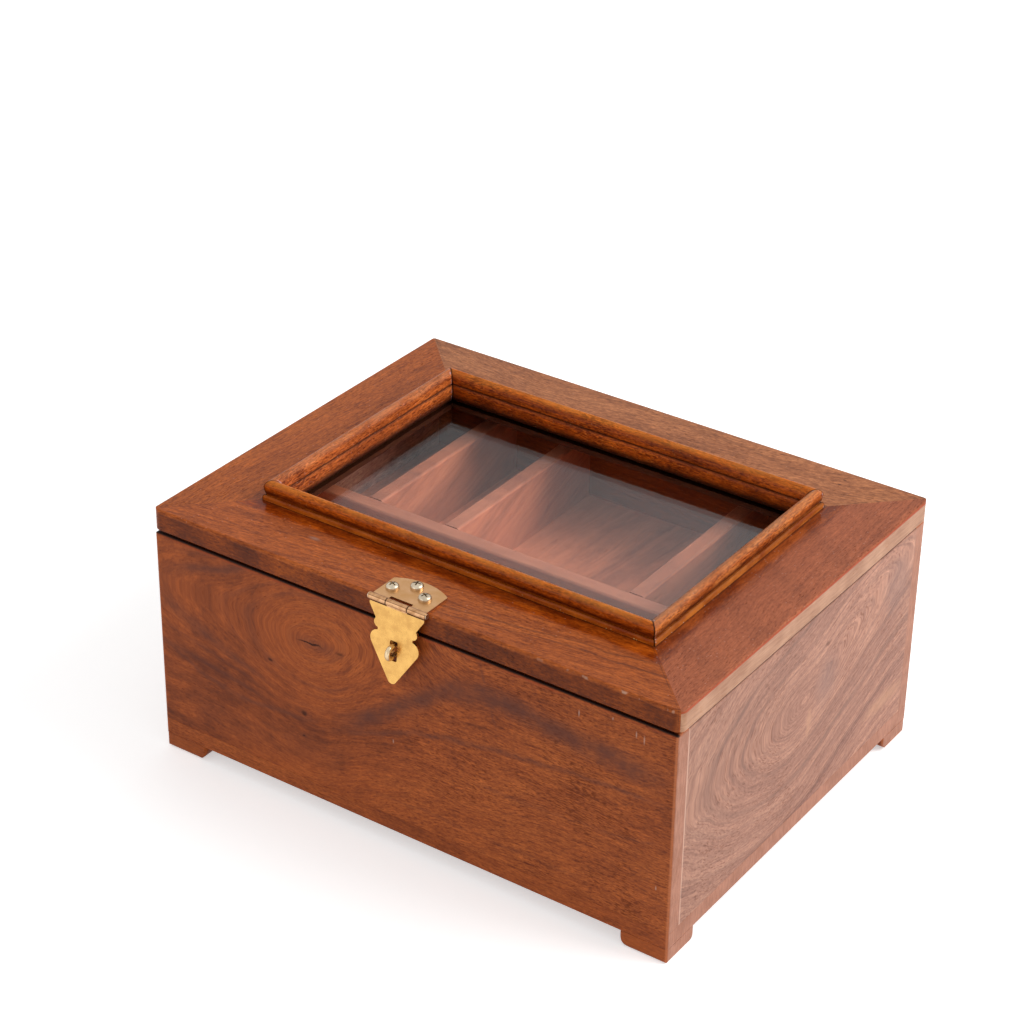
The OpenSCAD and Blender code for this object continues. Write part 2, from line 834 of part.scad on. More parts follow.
// The flap hanging straight down from the barrel's axis.
module straight_flap() {
    slot_length = slot_bottom - slot_top;
    tongue = flap_top + cut;
    difference() {
        union() {
            rod_x(hasp_knuckle, hasp_barrel);
            translate([-hasp_knuckle / 2, -hasp_sheet / 2, -tongue])
                cube([hasp_knuckle, hasp_sheet, tongue]);
            along_y(hasp_sheet) mirror([0, 1]) {
                flap_half();
                mirror([1, 0]) flap_half();
            }
        }
        rod_x(hasp_knuckle + cut, hasp_pin + pin_play);
        along_y(hasp_sheet + cut)
            translate([staple_x - hasp_middle, -(slot_top + slot_bottom) / 2])
                round_rect(flap_slot, slot_length, flap_slot / 5);
    }
}

module hasp_flap() {
    color(brass) translate([hasp_middle, middle_y + hasp_axis_y, hasp_axis_z])
        rotate([-flap_lean, 0, 0]) straight_flap();
}

// ---- parts ---------------------------------------------------------------

base_board();
front_panel();
back_panel();
left_panel();
right_panel();
foot_front_left();
foot_front_right();
foot_back_left();
foot_back_right();
compartment_floor();
long_divider();
cross_divider_left();
cross_divider_middle();
cross_divider_right();
staple_plate();
staple_loop();
staple_screws();
hinge_body_leaf_left();
hinge_body_leaf_right();
hinge_body_screws();
hinge_pin_left();
hinge_pin_right();
lid_front_board();
lid_back_board();
lid_left_board();
lid_right_board();
moulding_front();
moulding_back();
moulding_left();
moulding_right();
glass_pane();
glass_strip_front();
glass_strip_back();
glass_strip_left();
glass_strip_right();
hinge_lid_leaf_left();
hinge_lid_leaf_right();
hinge_lid_screws();
hasp_leaf();
hasp_pin();
hasp_screws();
hasp_flap();
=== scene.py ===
from collections import namedtuple
import json
import math

import bpy
from bpy.props import FloatProperty, FloatVectorProperty, IntProperty, PointerProperty
from mathutils import Matrix, Vector


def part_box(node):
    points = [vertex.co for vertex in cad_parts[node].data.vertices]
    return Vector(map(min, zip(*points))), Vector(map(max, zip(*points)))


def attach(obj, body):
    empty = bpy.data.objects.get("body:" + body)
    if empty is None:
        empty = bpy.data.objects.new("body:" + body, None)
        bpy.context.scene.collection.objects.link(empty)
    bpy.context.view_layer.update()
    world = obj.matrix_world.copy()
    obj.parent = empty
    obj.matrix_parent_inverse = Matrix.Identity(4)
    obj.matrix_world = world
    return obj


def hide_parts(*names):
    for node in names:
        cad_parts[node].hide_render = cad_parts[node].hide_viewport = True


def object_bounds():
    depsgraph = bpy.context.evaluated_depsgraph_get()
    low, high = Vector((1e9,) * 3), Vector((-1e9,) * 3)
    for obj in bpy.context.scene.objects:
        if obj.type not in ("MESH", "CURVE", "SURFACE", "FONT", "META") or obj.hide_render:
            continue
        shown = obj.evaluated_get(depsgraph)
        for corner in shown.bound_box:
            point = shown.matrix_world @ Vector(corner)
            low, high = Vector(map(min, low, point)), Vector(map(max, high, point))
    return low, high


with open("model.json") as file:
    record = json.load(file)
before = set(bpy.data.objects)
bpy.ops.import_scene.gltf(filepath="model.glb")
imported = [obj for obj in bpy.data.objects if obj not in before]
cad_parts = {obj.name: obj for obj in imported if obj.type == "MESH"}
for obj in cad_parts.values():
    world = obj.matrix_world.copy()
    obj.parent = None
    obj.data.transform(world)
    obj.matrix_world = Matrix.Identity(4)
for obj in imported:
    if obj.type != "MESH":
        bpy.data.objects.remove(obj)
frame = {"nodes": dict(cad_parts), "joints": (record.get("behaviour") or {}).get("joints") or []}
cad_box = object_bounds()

bl_info = {
    "name": "Tea box finish",
    "version": (1, 0, 0),
    "blender": (4, 5, 0),
    "location": "View3D > Sidebar > Tea Box",
    "description": "Finishes a jointed wooden tea box with a glass-topped lid",
    "category": "Object",
}

MM = 0.001


# ---- reading the frame -----------------------------------------------------

def node_box(node):
    """A CAD node's lowest and highest corners, as vectors."""
    low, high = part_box(node)
    return Vector(low), Vector(high)


def node_middle(node):
    """The middle of a CAD node's box."""
    low, high = node_box(node)
    return (low + high) / 2


def joint_point(name):
    """A joint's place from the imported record."""
    for joint in frame["joints"]:
        if joint["name"] == name:
            return Vector(joint["pos_m"])
    raise RuntimeError(f"no joint named {name}")


LID_TOP = node_box("lid_front_board")[1].z
LID_FRONT = node_box("lid_front_board")[0].y
WALL_FRONT = node_box("front_panel")[0].y
BODY_MIDDLE_Y = node_middle("base_board").y
FLOOR_Z = cad_box[0][2]
WOOD_RELIEF = 0.2 * MM
DULL_GLOSS = 0.2
METAL_RELIEF = 0.1 * MM
SMOOTH_BELOW = math.radians(35)


# ---- building node trees ---------------------------------------------------

class Graph:
    """Adds nodes to a tree and joins them, with sockets given by name or place."""

    def __init__(self, tree):
        self.tree = tree

    def add(self, kind, inputs=None, **settings):
        """A node with its settings, its inputs set or linked."""
        node = self.tree.nodes.new(kind)
        for name, value in settings.items():
            setattr(node, name, value)
        for key, value in (inputs or {}).items():
            self.put(node.inputs[key], value)
        return node

    def put(self, socket, value):
        """Links a socket, or sets its value."""
        if isinstance(value, bpy.types.NodeSocket):
            self.tree.links.new(value, socket)
        else:
            socket.default_value = value

    def math(self, operation, a, b=None, c=None):
        """A Math node's result."""
        node = self.add("ShaderNodeMath", operation=operation)
        for index, value in enumerate((a, b, c)):
            if value is not None:
                self.put(node.inputs[index], value)
        return node.outputs[0]

    def plus(self, a, b):
        """The sum of two values."""
        return self.math("ADD", a, b)

    def minus(self, a, b):
        """The difference of two values."""
        return self.math("SUBTRACT", a, b)

    def times(self, first, *others):
        """The product of two or more values."""
        for value in others:
            first = self.math("MULTIPLY", first, value)
        return first

    def vector(self, operation, a, b):
        """A Vector Math node's vector."""
        return self.add("ShaderNodeVectorMath", {0: a, 1: b}, operation=operation).outputs[0]

    def drawn(self, vector, share):
        """A vector shrunk along X, for a pattern drawn out along the grain."""
        return self.vector("MULTIPLY", vector, (share, 1.0, 1.0))

    def split(self, vector):
        """A vector's three parts."""
        node = self.add("ShaderNodeSeparateXYZ", {0: vector})
        return node.outputs[0], node.outputs[1], node.outputs[2]

    def join(self, x, y, z):
        """A vector from three parts."""
        return self.add("ShaderNodeCombineXYZ", {0: x, 1: y, 2: z}).outputs[0]

    def remap(self, value, low, high, to_low=0.0, to_high=1.0, smooth=False):
        """A value brought from one range to another and held there."""
        node = self.add("ShaderNodeMapRange", {0: value, 1: low, 2: high, 3: to_low, 4: to_high},
                        interpolation_type="SMOOTHSTEP" if smooth else "LINEAR", clamp=True)
        return node.outputs[0]

    def blend(self, factor, a, b, mode="MIX"):
        """Two colours mixed."""
        node = self.add("ShaderNodeMix", data_type="RGBA", blend_type=mode, clamp_factor=True)
        self.put(node.inputs[0], factor)
        self.put(node.inputs[6], a)
        self.put(node.inputs[7], b)
        return node.outputs[2]

    def noise(self, vector, scale, detail=2.0, roughness=0.5, dimensions="3D"):
        """A Noise Texture's value."""
        place = "W" if dimensions == "1D" else "Vector"
        inputs = {place: vector, "Scale": scale, "Detail": detail, "Roughness": roughness}
        return self.add("ShaderNodeTexNoise", inputs, noise_dimensions=dimensions).outputs[0]

    def waver(self, vector, scale, detail, roughness=0.5):
        """Noise that strays to both sides of nought."""
        return self.minus(self.noise(vector, scale, detail, roughness), 0.5)


def new_group(kind, name, ins, outs):
    """A node group with its graph, its input's sockets and its output's sockets.

    An input is given with its default value, or with the name of its kind, as an output is.
    """
    tree = bpy.data.node_groups.new(name, kind)
    sorts = {float: "Float", int: "Int", tuple: "Vector"}
    for key, default in ins:
        sort = default if isinstance(default, str) else sorts[type(default)]
        if sort == "Vector" and len(default) == 4:
            sort = "Color"
        socket = tree.interface.new_socket(key, in_out="INPUT", socket_type="NodeSocket" + sort)
        if sort != default:
            socket.default_value = default
    for key, sort in outs:
        tree.interface.new_socket(key, in_out="OUTPUT", socket_type="NodeSocket" + sort)
    g = Graph(tree)
    return tree, g, g.add("NodeGroupInput").outputs, g.add("NodeGroupOutput").inputs


def growth_group():
    """Growth rings of a sawn board: straight bands that can run round a knot."""
    tree, g, i, o = new_group("ShaderNodeTree", "Growth Rings", [
        ("Vector", (0.0, 0.0, 0.0)), ("Tilt", 0.0), ("Knot", (0.0, 0.0, 0.0)),
        ("Knot Left", 1.5), ("Knot Right", 2.5), ("Knot Rise", 0.0), ("Knot Open", 1.9),
        ("Knot Reach", 1.0), ("Knot Weight", 0.0), ("Wander", 0.01), ("Wander Scale", 14.0),
        ("Spacing", 0.008), ("Seed", 0.0),
    ], [("Bands", "Float"), ("Lines", "Float"), ("Distance", "Float"), ("Flow", "Float")])
    x, y, _ = g.split(i["Vector"])
    kx, ky, _ = g.split(i["Knot"])
    across = g.minus(y, g.times(x, i["Tilt"]))
    # distance from the knot, longer to one side and opening out away from it
    dx = g.minus(x, kx)
    passed = g.math("SMOOTH_MIN", g.math("SMOOTH_MAX", dx, 0.0, 0.03), 0.08, 0.04)
    risen = g.times(passed, i["Knot Rise"])
    dy = g.minus(g.minus(y, ky), risen)
    opened = g.remap(g.math("ABSOLUTE", dx), 0.015, 0.11, 1.0, i["Knot Open"], smooth=True)
    side = g.remap(dx, -0.02, 0.03, 0.0, 1.0, smooth=True)
    length = g.plus(g.times(side, g.minus(i["Knot Right"], i["Knot Left"])), i["Knot Left"])
    ex = g.math("DIVIDE", dx, g.times(length, opened))
    round_knot = g.math("SQRT", g.plus(g.times(ex, ex), g.times(dy, dy)))
    # straight grain that gives way to the knot within its reach
    reach = g.remap(g.minus(dx, i["Knot Reach"]), 0.0, 0.05, 1.0, 0.0, smooth=True)
    weight = g.times(i["Knot Weight"], reach)
    straight = g.times(g.minus(g.plus(ky, risen), across), g.minus(1.0, weight))
    shifted = g.vector("ADD", i["Vector"], g.join(i["Seed"], i["Seed"], i["Seed"]))
    calm = g.drawn(shifted, 0.35)
    drift = g.times(g.waver(calm, i["Wander Scale"], 3.0, 0.55), i["Wander"])
    field = g.plus(g.plus(straight, g.times(round_knot, weight)), drift)
    # broad and narrow bands, and thin broken lines between them
    phase = g.plus(g.math("DIVIDE", field, i["Spacing"]), i["Seed"])
    wide = g.noise(phase, 0.55, 2.0, 0.5, dimensions="1D")
    fine = g.noise(phase, 2.4, 3.0, 0.65, dimensions="1D")
    g.put(o["Bands"], g.remap(g.plus(g.times(wide, 0.6), g.times(fine, 0.4)), 0.32, 0.68))
    edge = g.math("ABSOLUTE", g.minus(g.noise(phase, 1.6, 2.0, 0.6, dimensions="1D"), 0.5))
    broken = g.remap(g.noise(calm, 38.0, 3.0, 0.6), 0.40, 0.62)
    g.put(o["Lines"], g.times(g.remap(edge, 0.0, 0.03, 1.0, 0.0), broken))
    g.put(o["Distance"], g.plus(round_knot, drift))
    g.put(o["Flow"], field)
    return tree


def fibre_group():
    """Fibres, open pores and cloudy patches of planed wood, grain along X."""
    tree, g, i, o = new_group("ShaderNodeTree", "Wood Fibres", [
        ("Vector", (0.0, 0.0, 0.0)), ("Fibre Scale", 1350.0), ("Pore Scale", 1350.0),
        ("Pore Amount", 0.5), ("Seed", 0.0),
    ], [("Fibres", "Float"), ("Pores", "Float"), ("Clouds", "Float")])
    shifted = g.vector("ADD", i["Vector"], g.join(i["Seed"], 0.37, 0.11))
    sway = g.times(g.waver(shifted, 22.0, 2.0), 0.006)
    swayed = g.vector("ADD", shifted, g.join(0.0, sway, 0.0))
    long_grain = g.drawn(swayed, 0.09)
    coarse = g.noise(long_grain, g.times(i["Fibre Scale"], 0.35), 2.0, 0.6)
    hair = g.noise(long_grain, i["Fibre Scale"], 3.0, 0.7)
    grit = g.noise(g.drawn(swayed, 0.35), 1500.0, 2.0, 0.6)
    threads = g.plus(g.times(coarse, 0.17), g.times(hair, 0.40))
    g.put(o["Fibres"], g.plus(threads, g.times(grit, 0.43)))
    pits = g.noise(g.drawn(swayed, 0.22), i["Pore Scale"], 1.0, 0.5)
    dense = g.remap(g.noise(shifted, 30.0, 3.0, 0.6), 0.35, 0.65)
    level = g.minus(0.70, g.times(dense, i["Pore Amount"], 0.18))
    g.put(o["Pores"], g.remap(pits, level, g.plus(level, 0.10)))
    broad = g.noise(g.drawn(shifted, 0.5), 15.0, 3.0, 0.55)
    mottle = g.noise(g.drawn(swayed, 0.42), 210.0, 3.0, 0.65)
    g.put(o["Clouds"], g.remap(g.plus(g.times(broad, 0.65), g.times(mottle, 0.35)), 0.34, 0.66))
    return tree


def stained_group():
    """Colour, roughness and height of stained wood from its rings and fibres."""
    tree, g, i, o = new_group("ShaderNodeTree", "Stained Wood", [
        ("Bands", 0.5), ("Lines", 0.0), ("Fibres", 0.5), ("Pores", 0.0), ("Clouds", 0.5),
        ("Light", (0.3, 0.1, 0.05, 1.0)), ("Middle", (0.2, 0.07, 0.03, 1.0)),
        ("Dark", (0.08, 0.03, 0.015, 1.0)), ("Band Strength", 0.5), ("Line Strength", 0.4),
        ("Fibre Strength", 0.5), ("Pore Strength", 0.7), ("Cloud Strength", 0.4),
    ], [("Color", "Color"), ("Roughness", "Float"), ("Height", "Float")])
    ringed = g.times(g.minus(i["Bands"], 0.5), i["Band Strength"])
    clouded = g.times(g.minus(i["Clouds"], 0.5), i["Cloud Strength"])
    tone = g.plus(g.plus(ringed, clouded), 0.5)
    low = g.blend(g.remap(tone, 0.0, 0.5), i["Dark"], i["Middle"])
    colour = g.blend(g.remap(tone, 0.5, 1.0), low, i["Light"])
    colour = g.blend(g.times(i["Lines"], i["Line Strength"]), colour, i["Dark"])
    thread = g.times(g.minus(i["Fibres"], 0.5), i["Fibre Strength"])
    gain = g.math("MULTIPLY_ADD", thread, 3.0, 1.0)
    ruddy = g.math("MULTIPLY_ADD", thread, 3.5, 1.0)
    colour = g.blend(1.0, colour, g.join(gain, ruddy, ruddy), "MULTIPLY")
    pit = g.times(i["Pores"], i["Pore Strength"])
    g.put(o["Color"], g.blend(pit, colour, i["Dark"]))
    g.put(o["Roughness"], g.plus(g.times(i["Pores"], 0.25), g.times(i["Fibres"], 0.12)))
    g.put(o["Height"], g.minus(g.times(i["Fibres"], 0.35), pit))
    return tree


def specks_group():
    """Small scattered flecks, such as dust on varnish."""
    tree, g, i, o = new_group("ShaderNodeTree", "Specks", [
        ("Vector", (0.0, 0.0, 0.0)), ("Scale", 300.0), ("Size", 0.1), ("Share", 0.02),
    ], [("Mask", "Float")])
    cells = g.add("ShaderNodeTexVoronoi", {"Vector": i["Vector"], "Scale": i["Scale"]})
    chance = g.add("ShaderNodeSeparateColor", {0: cells.outputs["Color"]}).outputs[0]
    picked = g.math("LESS_THAN", chance, i["Share"])
    near = g.remap(cells.outputs["Distance"], g.times(i["Size"], 0.6), i["Size"], 1.0, 0.0)
    g.put(o["Mask"], g.times(picked, near))
    return tree


def wear_group():
    """Fine scratches and dull patches on sheet metal."""
    tree, g, i, o = new_group("ShaderNodeTree", "Metal Wear", [
        ("Vector", (0.0, 0.0, 0.0)), ("Scratch Scale", 2500.0), ("Patch Scale", 160.0),
    ], [("Scratches", "Float"), ("Patches", "Float"), ("Height", "Float")])
    fine = g.noise(g.drawn(i["Vector"], 0.06), i["Scratch Scale"], 2.0, 0.6)
    g.put(o["Scratches"], fine)
    g.put(o["Patches"], g.remap(g.noise(i["Vector"], i["Patch Scale"], 3.0, 0.6), 0.35, 0.7))
    g.put(o["Height"], g.plus(fine, g.noise(i["Vector"], 420.0, 2.0)))
    return tree


GROUPS = {}


def place_group(g, maker, vector, seed=None):
    """A shared node group, built once, placed in a material on its coordinates."""
    if maker not in GROUPS:
        GROUPS[maker] = maker()
    node = g.add("ShaderNodeGroup", node_tree=GROUPS[maker])
    if vector is not None:
        g.put(node.inputs["Vector"], vector)
    if seed is not None:
        node.inputs["Seed"].default_value = seed
    return node


# ---- materials -------------------------------------------------------------

def new_material(name):
    """An empty material with its graph, its surface shader and its output."""
    material = bpy.data.materials.new(name)
    material.use_nodes = True
    material.node_tree.nodes.clear()
    g = Graph(material.node_tree)
    shader = g.add("ShaderNodeBsdfPrincipled")
    output = g.add("ShaderNodeOutputMaterial")
    g.tree.links.new(shader.outputs[0], output.inputs["Surface"])
    return material, g, shader


# A board's object coordinates, its coordinates with the grain along X, and how far its knot is.
Places = namedtuple("Places", "coords grain knot")


def grain_vector(g, grain, across):
    """Object coordinates with the grain along X and the face's other way along Y."""
    coords = g.add("ShaderNodeTexCoord").outputs["Object"]
    parts = dict(zip("xyz", g.split(coords)))
    rest = [axis for axis in "xyz" if axis not in (grain, across)][0]
    return g.join(parts[grain], parts[across], parts[rest]), coords


def wood_material(name, grain, across, colours, seed, rings=None, fibres=None, strengths=None,
                  roughness=0.36, coat=0.0, bump=0.25, marks=None, gloss=0.14):
    """Stained and varnished wood for one board.

    A fibre setting or a strength is a number, or runs along the grain from one place to another
    as (place, place, value, value).
    """
    material, g, shader = new_material(name)
    vector, coords = grain_vector(g, grain, across)
    along, _, rest = g.split(vector)

    def settle(node, values):
        """Sets a group's inputs that are fixed or run along the grain."""
        for key, value in (values or {}).items():
            g.put(node.inputs[key], g.remap(along, *value) if isinstance(value, tuple) else value)

    ring = place_group(g, growth_group, vector, seed)
    for key, value in (rings or {}).items():
        ring.inputs[key].default_value = value
    fibre = place_group(g, fibre_group, g.join(along, ring.outputs["Flow"], rest), seed)
    settle(fibre, fibres)
    stain = place_group(g, stained_group, None)
    for node, keys in ((ring, ("Bands", "Lines")), (fibre, ("Fibres", "Pores", "Clouds"))):
        for key in keys:
            g.put(stain.inputs[key], node.outputs[key])
    for key, value in zip(("Light", "Middle", "Dark"), colours):
        stain.inputs[key].default_value = (*value, 1.0)
    settle(stain, strengths)
    colour, height = stain.outputs["Color"], stain.outputs["Height"]
    rough = g.plus(stain.outputs["Roughness"], roughness)
    if marks:
        at = Places(coords, vector, ring.outputs["Distance"])
        colour, height, rough = marks(g, at, colour, height, rough)
    bumped = g.add("ShaderNodeBump", {"Height": height, "Strength": bump, "Distance": WOOD_RELIEF})
    g.put(shader.inputs["Base Color"], colour)
    g.put(shader.inputs["Roughness"], rough)
    g.put(shader.inputs["Normal"], bumped.outputs[0])
    shader.inputs["Specular IOR Level"].default_value = gloss
    shader.inputs["Coat Weight"].default_value = coat
    shader.inputs["Coat Roughness"].default_value = 0.18
    return material


def metal_material(name, colour, dull, roughness, marks=None, patch=160.0):
    """Worn sheet metal or wire."""
    material, g, shader = new_material(name)
    coords = g.add("ShaderNodeTexCoord").outputs["Object"]
    wear = place_group(g, wear_group, coords)
    wear.inputs["Patch Scale"].default_value = patch
    tint = g.blend(g.times(wear.outputs["Patches"], 0.6), (*colour, 1.0), (*dull, 1.0))
    if marks:
        tint = marks(g, coords, tint)
    g.put(shader.inputs["Base Color"], tint)
    rough = g.plus(g.times(wear.outputs["Patches"], 0.16), g.times(wear.outputs["Scratches"], 0.12))
    g.put(shader.inputs["Roughness"], g.plus(rough, roughness - 0.12))
    shader.inputs["Metallic"].default_value = 1.0
    bumped = g.add("ShaderNodeBump", {"Height": wear.outputs["Height"], "Strength": 0.15,
                                      "Distance": METAL_RELIEF})
    g.put(shader.inputs["Normal"], bumped.outputs[0])
    return material


def pane_material(tint):
    """Clear glass that lets plain light through to what lies under it."""
    material, g, shader = new_material("clear_glass")
    shader.inputs["Base Color"].default_value = (*tint, 1.0)
    shader.inputs["Roughness"].default_value = 0.0
    shader.inputs["Transmission Weight"].default_value = 1.0
    shader.inputs["IOR"].default_value = 1.2
    shader.inputs["Specular Tint"].default_value = (1.0, 0.82, 0.80, 1.0)
    x, y, _ = g.split(g.add("ShaderNodeTexCoord").outputs["Object"])
    film = g.remap(g.minus(g.times(x, 0.8), g.times(y, 0.6)), -0.06, 0.08)
    g.put(shader.inputs["Coat Weight"], film)
    shader.inputs["Coat Roughness"].default_value = 0.03
    shader.inputs["Coat IOR"].default_value = 1.27
    path = g.add("ShaderNodeLightPath")
    g.put(shader.inputs["Alpha"], g.minus(1.0, path.outputs["Is Shadow Ray"]))
    return material


def soft_line(g, value, place, width):
    """1 where a value is at a place, falling softly to 0 at a distance from it."""
    gap = g.math("ABSOLUTE", g.minus(value, place))
    return g.remap(g.math("DIVIDE", gap, width), 0.0, 1.0, 1.0, 0.0, smooth=True)


def streak(g, x, z, points, width, fade=0.012):
    """A soft streak that runs through places given as (x, z), fading at its ends."""
    (x0, x1), heights = (points[0][0], points[-1][0]), [p[1] for p in points]
    low, rise = min(heights), max(max(heights) - min(heights), 1e-6)
    bend = g.add("ShaderNodeFloatCurve")
    curve = bend.mapping.curves[0]
    for n, (px, pz) in enumerate(points):
        place = ((px - x0) / (x1 - x0), (pz - low) / rise)
        if 0 < n < len(points) - 1:
            curve.points.new(*place)
        else:
            curve.points[0 if n == 0 else -1].location = place
    bend.mapping.update()
    g.put(bend.inputs["Value"], g.remap(x, x0, x1))
    drift = g.times(g.waver(g.join(x, 0.0, z), 55.0, 3.0), 0.006)
    middle = g.plus(g.math("MULTIPLY_ADD", bend.outputs[0], rise, low), drift)
    ends = g.times(g.remap(x, x0, x0 + fade), g.remap(x, x1 - fade, x1, 1.0, 0.0))
    return g.times(soft_line(g, z, middle, width), ends)


def add_mask(g, total, mask, strength):
    """The stronger of a mask so far and one more mask."""
    return g.math("MAXIMUM", total, g.times(mask, strength))


def darken(g, colour, mask, dark):
    """A colour brought towards a dark one by a mask."""
    return g.blend(mask, colour, (*dark, 1.0))


def slant(g, colour, value, low, high, at_low, at_high):
    """A slow change of a board's lightness from one of its ends to the other."""
    light = g.remap(value, low, high, at_low, at_high, smooth=True)
    return g.blend(1.0, colour, g.join(light, light, light), "MULTIPLY")


def spot(g, coords, place, size, soft):
    """A soft oval mask round a place, with its own size along X, Y and Z."""
    gone = g.vector("DIVIDE", g.vector("SUBTRACT", coords, place), size)
    far = g.add("ShaderNodeVectorMath", {0: gone}, operation="LENGTH").outputs["Value"]
    return g.remap(far, 1.0 - soft, 1.0, 1.0, 0.0, smooth=True)


def dust(g, coords, scale, size, share):
    """A mask of pale dust on varnish."""
    flecks = place_group(g, specks_group, coords)
    for key, value in (("Scale", scale), ("Size", size), ("Share", share)):
        flecks.inputs[key].default_value = value
    return flecks.outputs["Mask"]


def dress(node, material):
    """Gives a CAD node its material."""
    data = frame["nodes"][node].data
    data.materials.clear()
    data.materials.append(material)


# ---- what a user can change ------------------------------------------------

def colour_property(name, description, default):
    """A colour that a user can change."""
    return FloatVectorProperty(name=name, description=description, subtype="COLOR", size=3,
                               min=0.0, max=1.0, default=default)


def length_property(name, description, default, low, high):
    """A length that a user can change."""
    return FloatProperty(name=name, description=description, subtype="DISTANCE", unit="LENGTH",
                         min=low, max=high, default=default, precision=5)


class TEABOX_PG_wood(bpy.types.PropertyGroup):
    """Colours of the stained wood."""
    front: colour_property("Front wall", "Stain of the front and back walls", (0.335, 0.0745, 0.0160))
    # The side walls' colour is paler and pinker than the front's: it paints the sheen that the right
    # wall shows in the key light, on top of the wood's stain.
    side: colour_property("Side walls", "Stain of the side walls", (0.42, 0.205, 0.140))
    lid_front: colour_property("Lid front", "Stain of the lid's front board", (0.345, 0.078, 0.015))
    lid_back: colour_property("Lid back", "Stain of the lid's back board", (0.37, 0.130, 0.052))
    lid_left: colour_property("Lid left", "Stain of the lid's left board", (0.355, 0.082, 0.015))
    lid_right: colour_property("Lid right", "Stain of the lid's right board", (0.345, 0.096, 0.0415))
    inside: colour_property("Inside", "Wood of the floor and the dividers", (0.43, 0.145, 0.072))
    strips: colour_property("Strips", "Stain of the strips under the glass", (0.050, 0.014, 0.006))
    lift: FloatProperty(name="Lift", description="How much lighter the light rings are", default=0.38,
                        min=0.0, max=1.0)
    depth: FloatProperty(name="Depth", description="How much darker the dark rings are", default=0.66,
                         min=0.0, max=0.95)


class TEABOX_PG_moulding(bpy.types.PropertyGroup):
    """Form and colours of the moulding."""
    gap: length_property("Mitre gap", "Opening of the mitres", 0.0005, 0.0, 0.002)
    waver: length_property("Waver", "Unevenness of the hand-made profile", 0.00025, 0.0, 0.002)
    steps: IntProperty(name="Steps", description="Cuts along each length", default=60, min=8, max=200)
    light: colour_property("Light", "Lightest varnish colour", (0.62, 0.190, 0.040))
    middle: colour_property("Middle", "Main varnish colour", (0.44, 0.088, 0.012))
    dark: colour_property("Dark", "Darkest varnish colour", (0.09, 0.010, 0.002))


class TEABOX_PG_metal(bpy.types.PropertyGroup):
    """Colours of the hardware and the form of its screws."""
    brass: colour_property("Brass", "Polished brass", (0.78, 0.45, 0.135))
    brass_dull: colour_property("Dull brass", "Tarnished brass", (0.50, 0.255, 0.075))
    steel: colour_property("Steel", "Plated screws", (0.66, 0.56, 0.42))
    steel_dull: colour_property("Dull steel", "Worn plating", (0.34, 0.27, 0.19))
    bronze: colour_property("Bronze", "The leaf's pinkish brass", (0.60, 0.34, 0.165))
    wire: colour_property("Wire", "The staple's pale wire", (0.74, 0.60, 0.40))
    recess: FloatProperty(name="Recess", description="Depth of a screw's cross as a share of its head",
                          default=0.55, min=0.1, max=0.9)
    sides: IntProperty(name="Sides", description="Facets round a screw's head", default=48, min=12,
                       max=96)


class TEABOX_PG_glass(bpy.types.PropertyGroup):
    """Colour of the glass."""
    tint: colour_property("Tint", "Colour of the glass", (0.98, 0.94, 0.93))


class TEABOX_PG_stage(bpy.types.PropertyGroup):
    """Floor, lights and camera."""
    azimuth: FloatProperty(name="Azimuth", description="Camera's turn to the right of the front",
                           subtype="ANGLE", default=math.radians(34.327))
    elevation: FloatProperty(name="Elevation", description="Camera's height angle", subtype="ANGLE",
                             default=math.radians(29.994))
    roll: FloatProperty(name="Roll", description="Camera's tilt", subtype="ANGLE",
                        default=math.radians(0.8693))
    distance: length_property("Distance", "Camera's distance from its aim", 1.22896, 0.1, 10.0)
    lens: FloatProperty(name="Lens", description="Focal length", subtype="DISTANCE_CAMERA",
                        default=95.296, min=10.0, max=300.0)
    key: FloatProperty(name="Key light", description="Strength of the key light", default=17.0,
                       min=0.0)
    fill: FloatProperty(name="Fill light", description="Strength of the fill light", default=3.0,
                        min=0.0)
    sky: FloatProperty(name="Sky", description="Strength of the all-round light", default=0.55,
                       min=0.0)


class TEABOX_PG_settings(bpy.types.PropertyGroup):
    """All settings of the tea box."""
    wood: PointerProperty(type=TEABOX_PG_wood)
    moulding: PointerProperty(type=TEABOX_PG_moulding)
    metal: PointerProperty(type=TEABOX_PG_metal)
    glass: PointerProperty(type=TEABOX_PG_glass)
    stage: PointerProperty(type=TEABOX_PG_stage)


def settings():
    """The scene's own settings."""
    return bpy.context.scene.tea_box


def tones(colour):
    """The light, middle and dark stain that one colour gives."""
    wood = settings().wood
    r, g, b = colour
    light = (r * (1 + wood.lift * 0.75), g * (1 + wood.lift * 1.15), b * (1 + wood.lift * 1.25))
    kept = 1 - wood.depth
    return light, (r, g, b), (r * kept, g * kept * 0.85, b * kept)


# ---- box body --------------------------------------------------------------

SMOKE = (0.120, 0.035, 0.021)
KNOT_DARK = (0.020, 0.008, 0.006)
# Painted shade for the shadowed gap between the walls and the lid.
RIM_GAP_SHADE = (0.012, 0.003, 0.002)
SWIRL_DARK = (0.205, 0.105, 0.080)
# Painted highlight on the rounded upright corner of the front and back walls.
END_ARRIS_HIGHLIGHT = (0.60, 0.20, 0.085, 1.0)
# Painted highlight on the rounded arris below the front wall's top.
FRONT_ARRIS_HIGHLIGHT = (0.34, 0.055, 0.014, 1.0)
SCUFF_PALE = (0.62, 0.42, 0.33, 1.0)
JOINT_PALE = (0.72, 0.45, 0.35, 1.0)

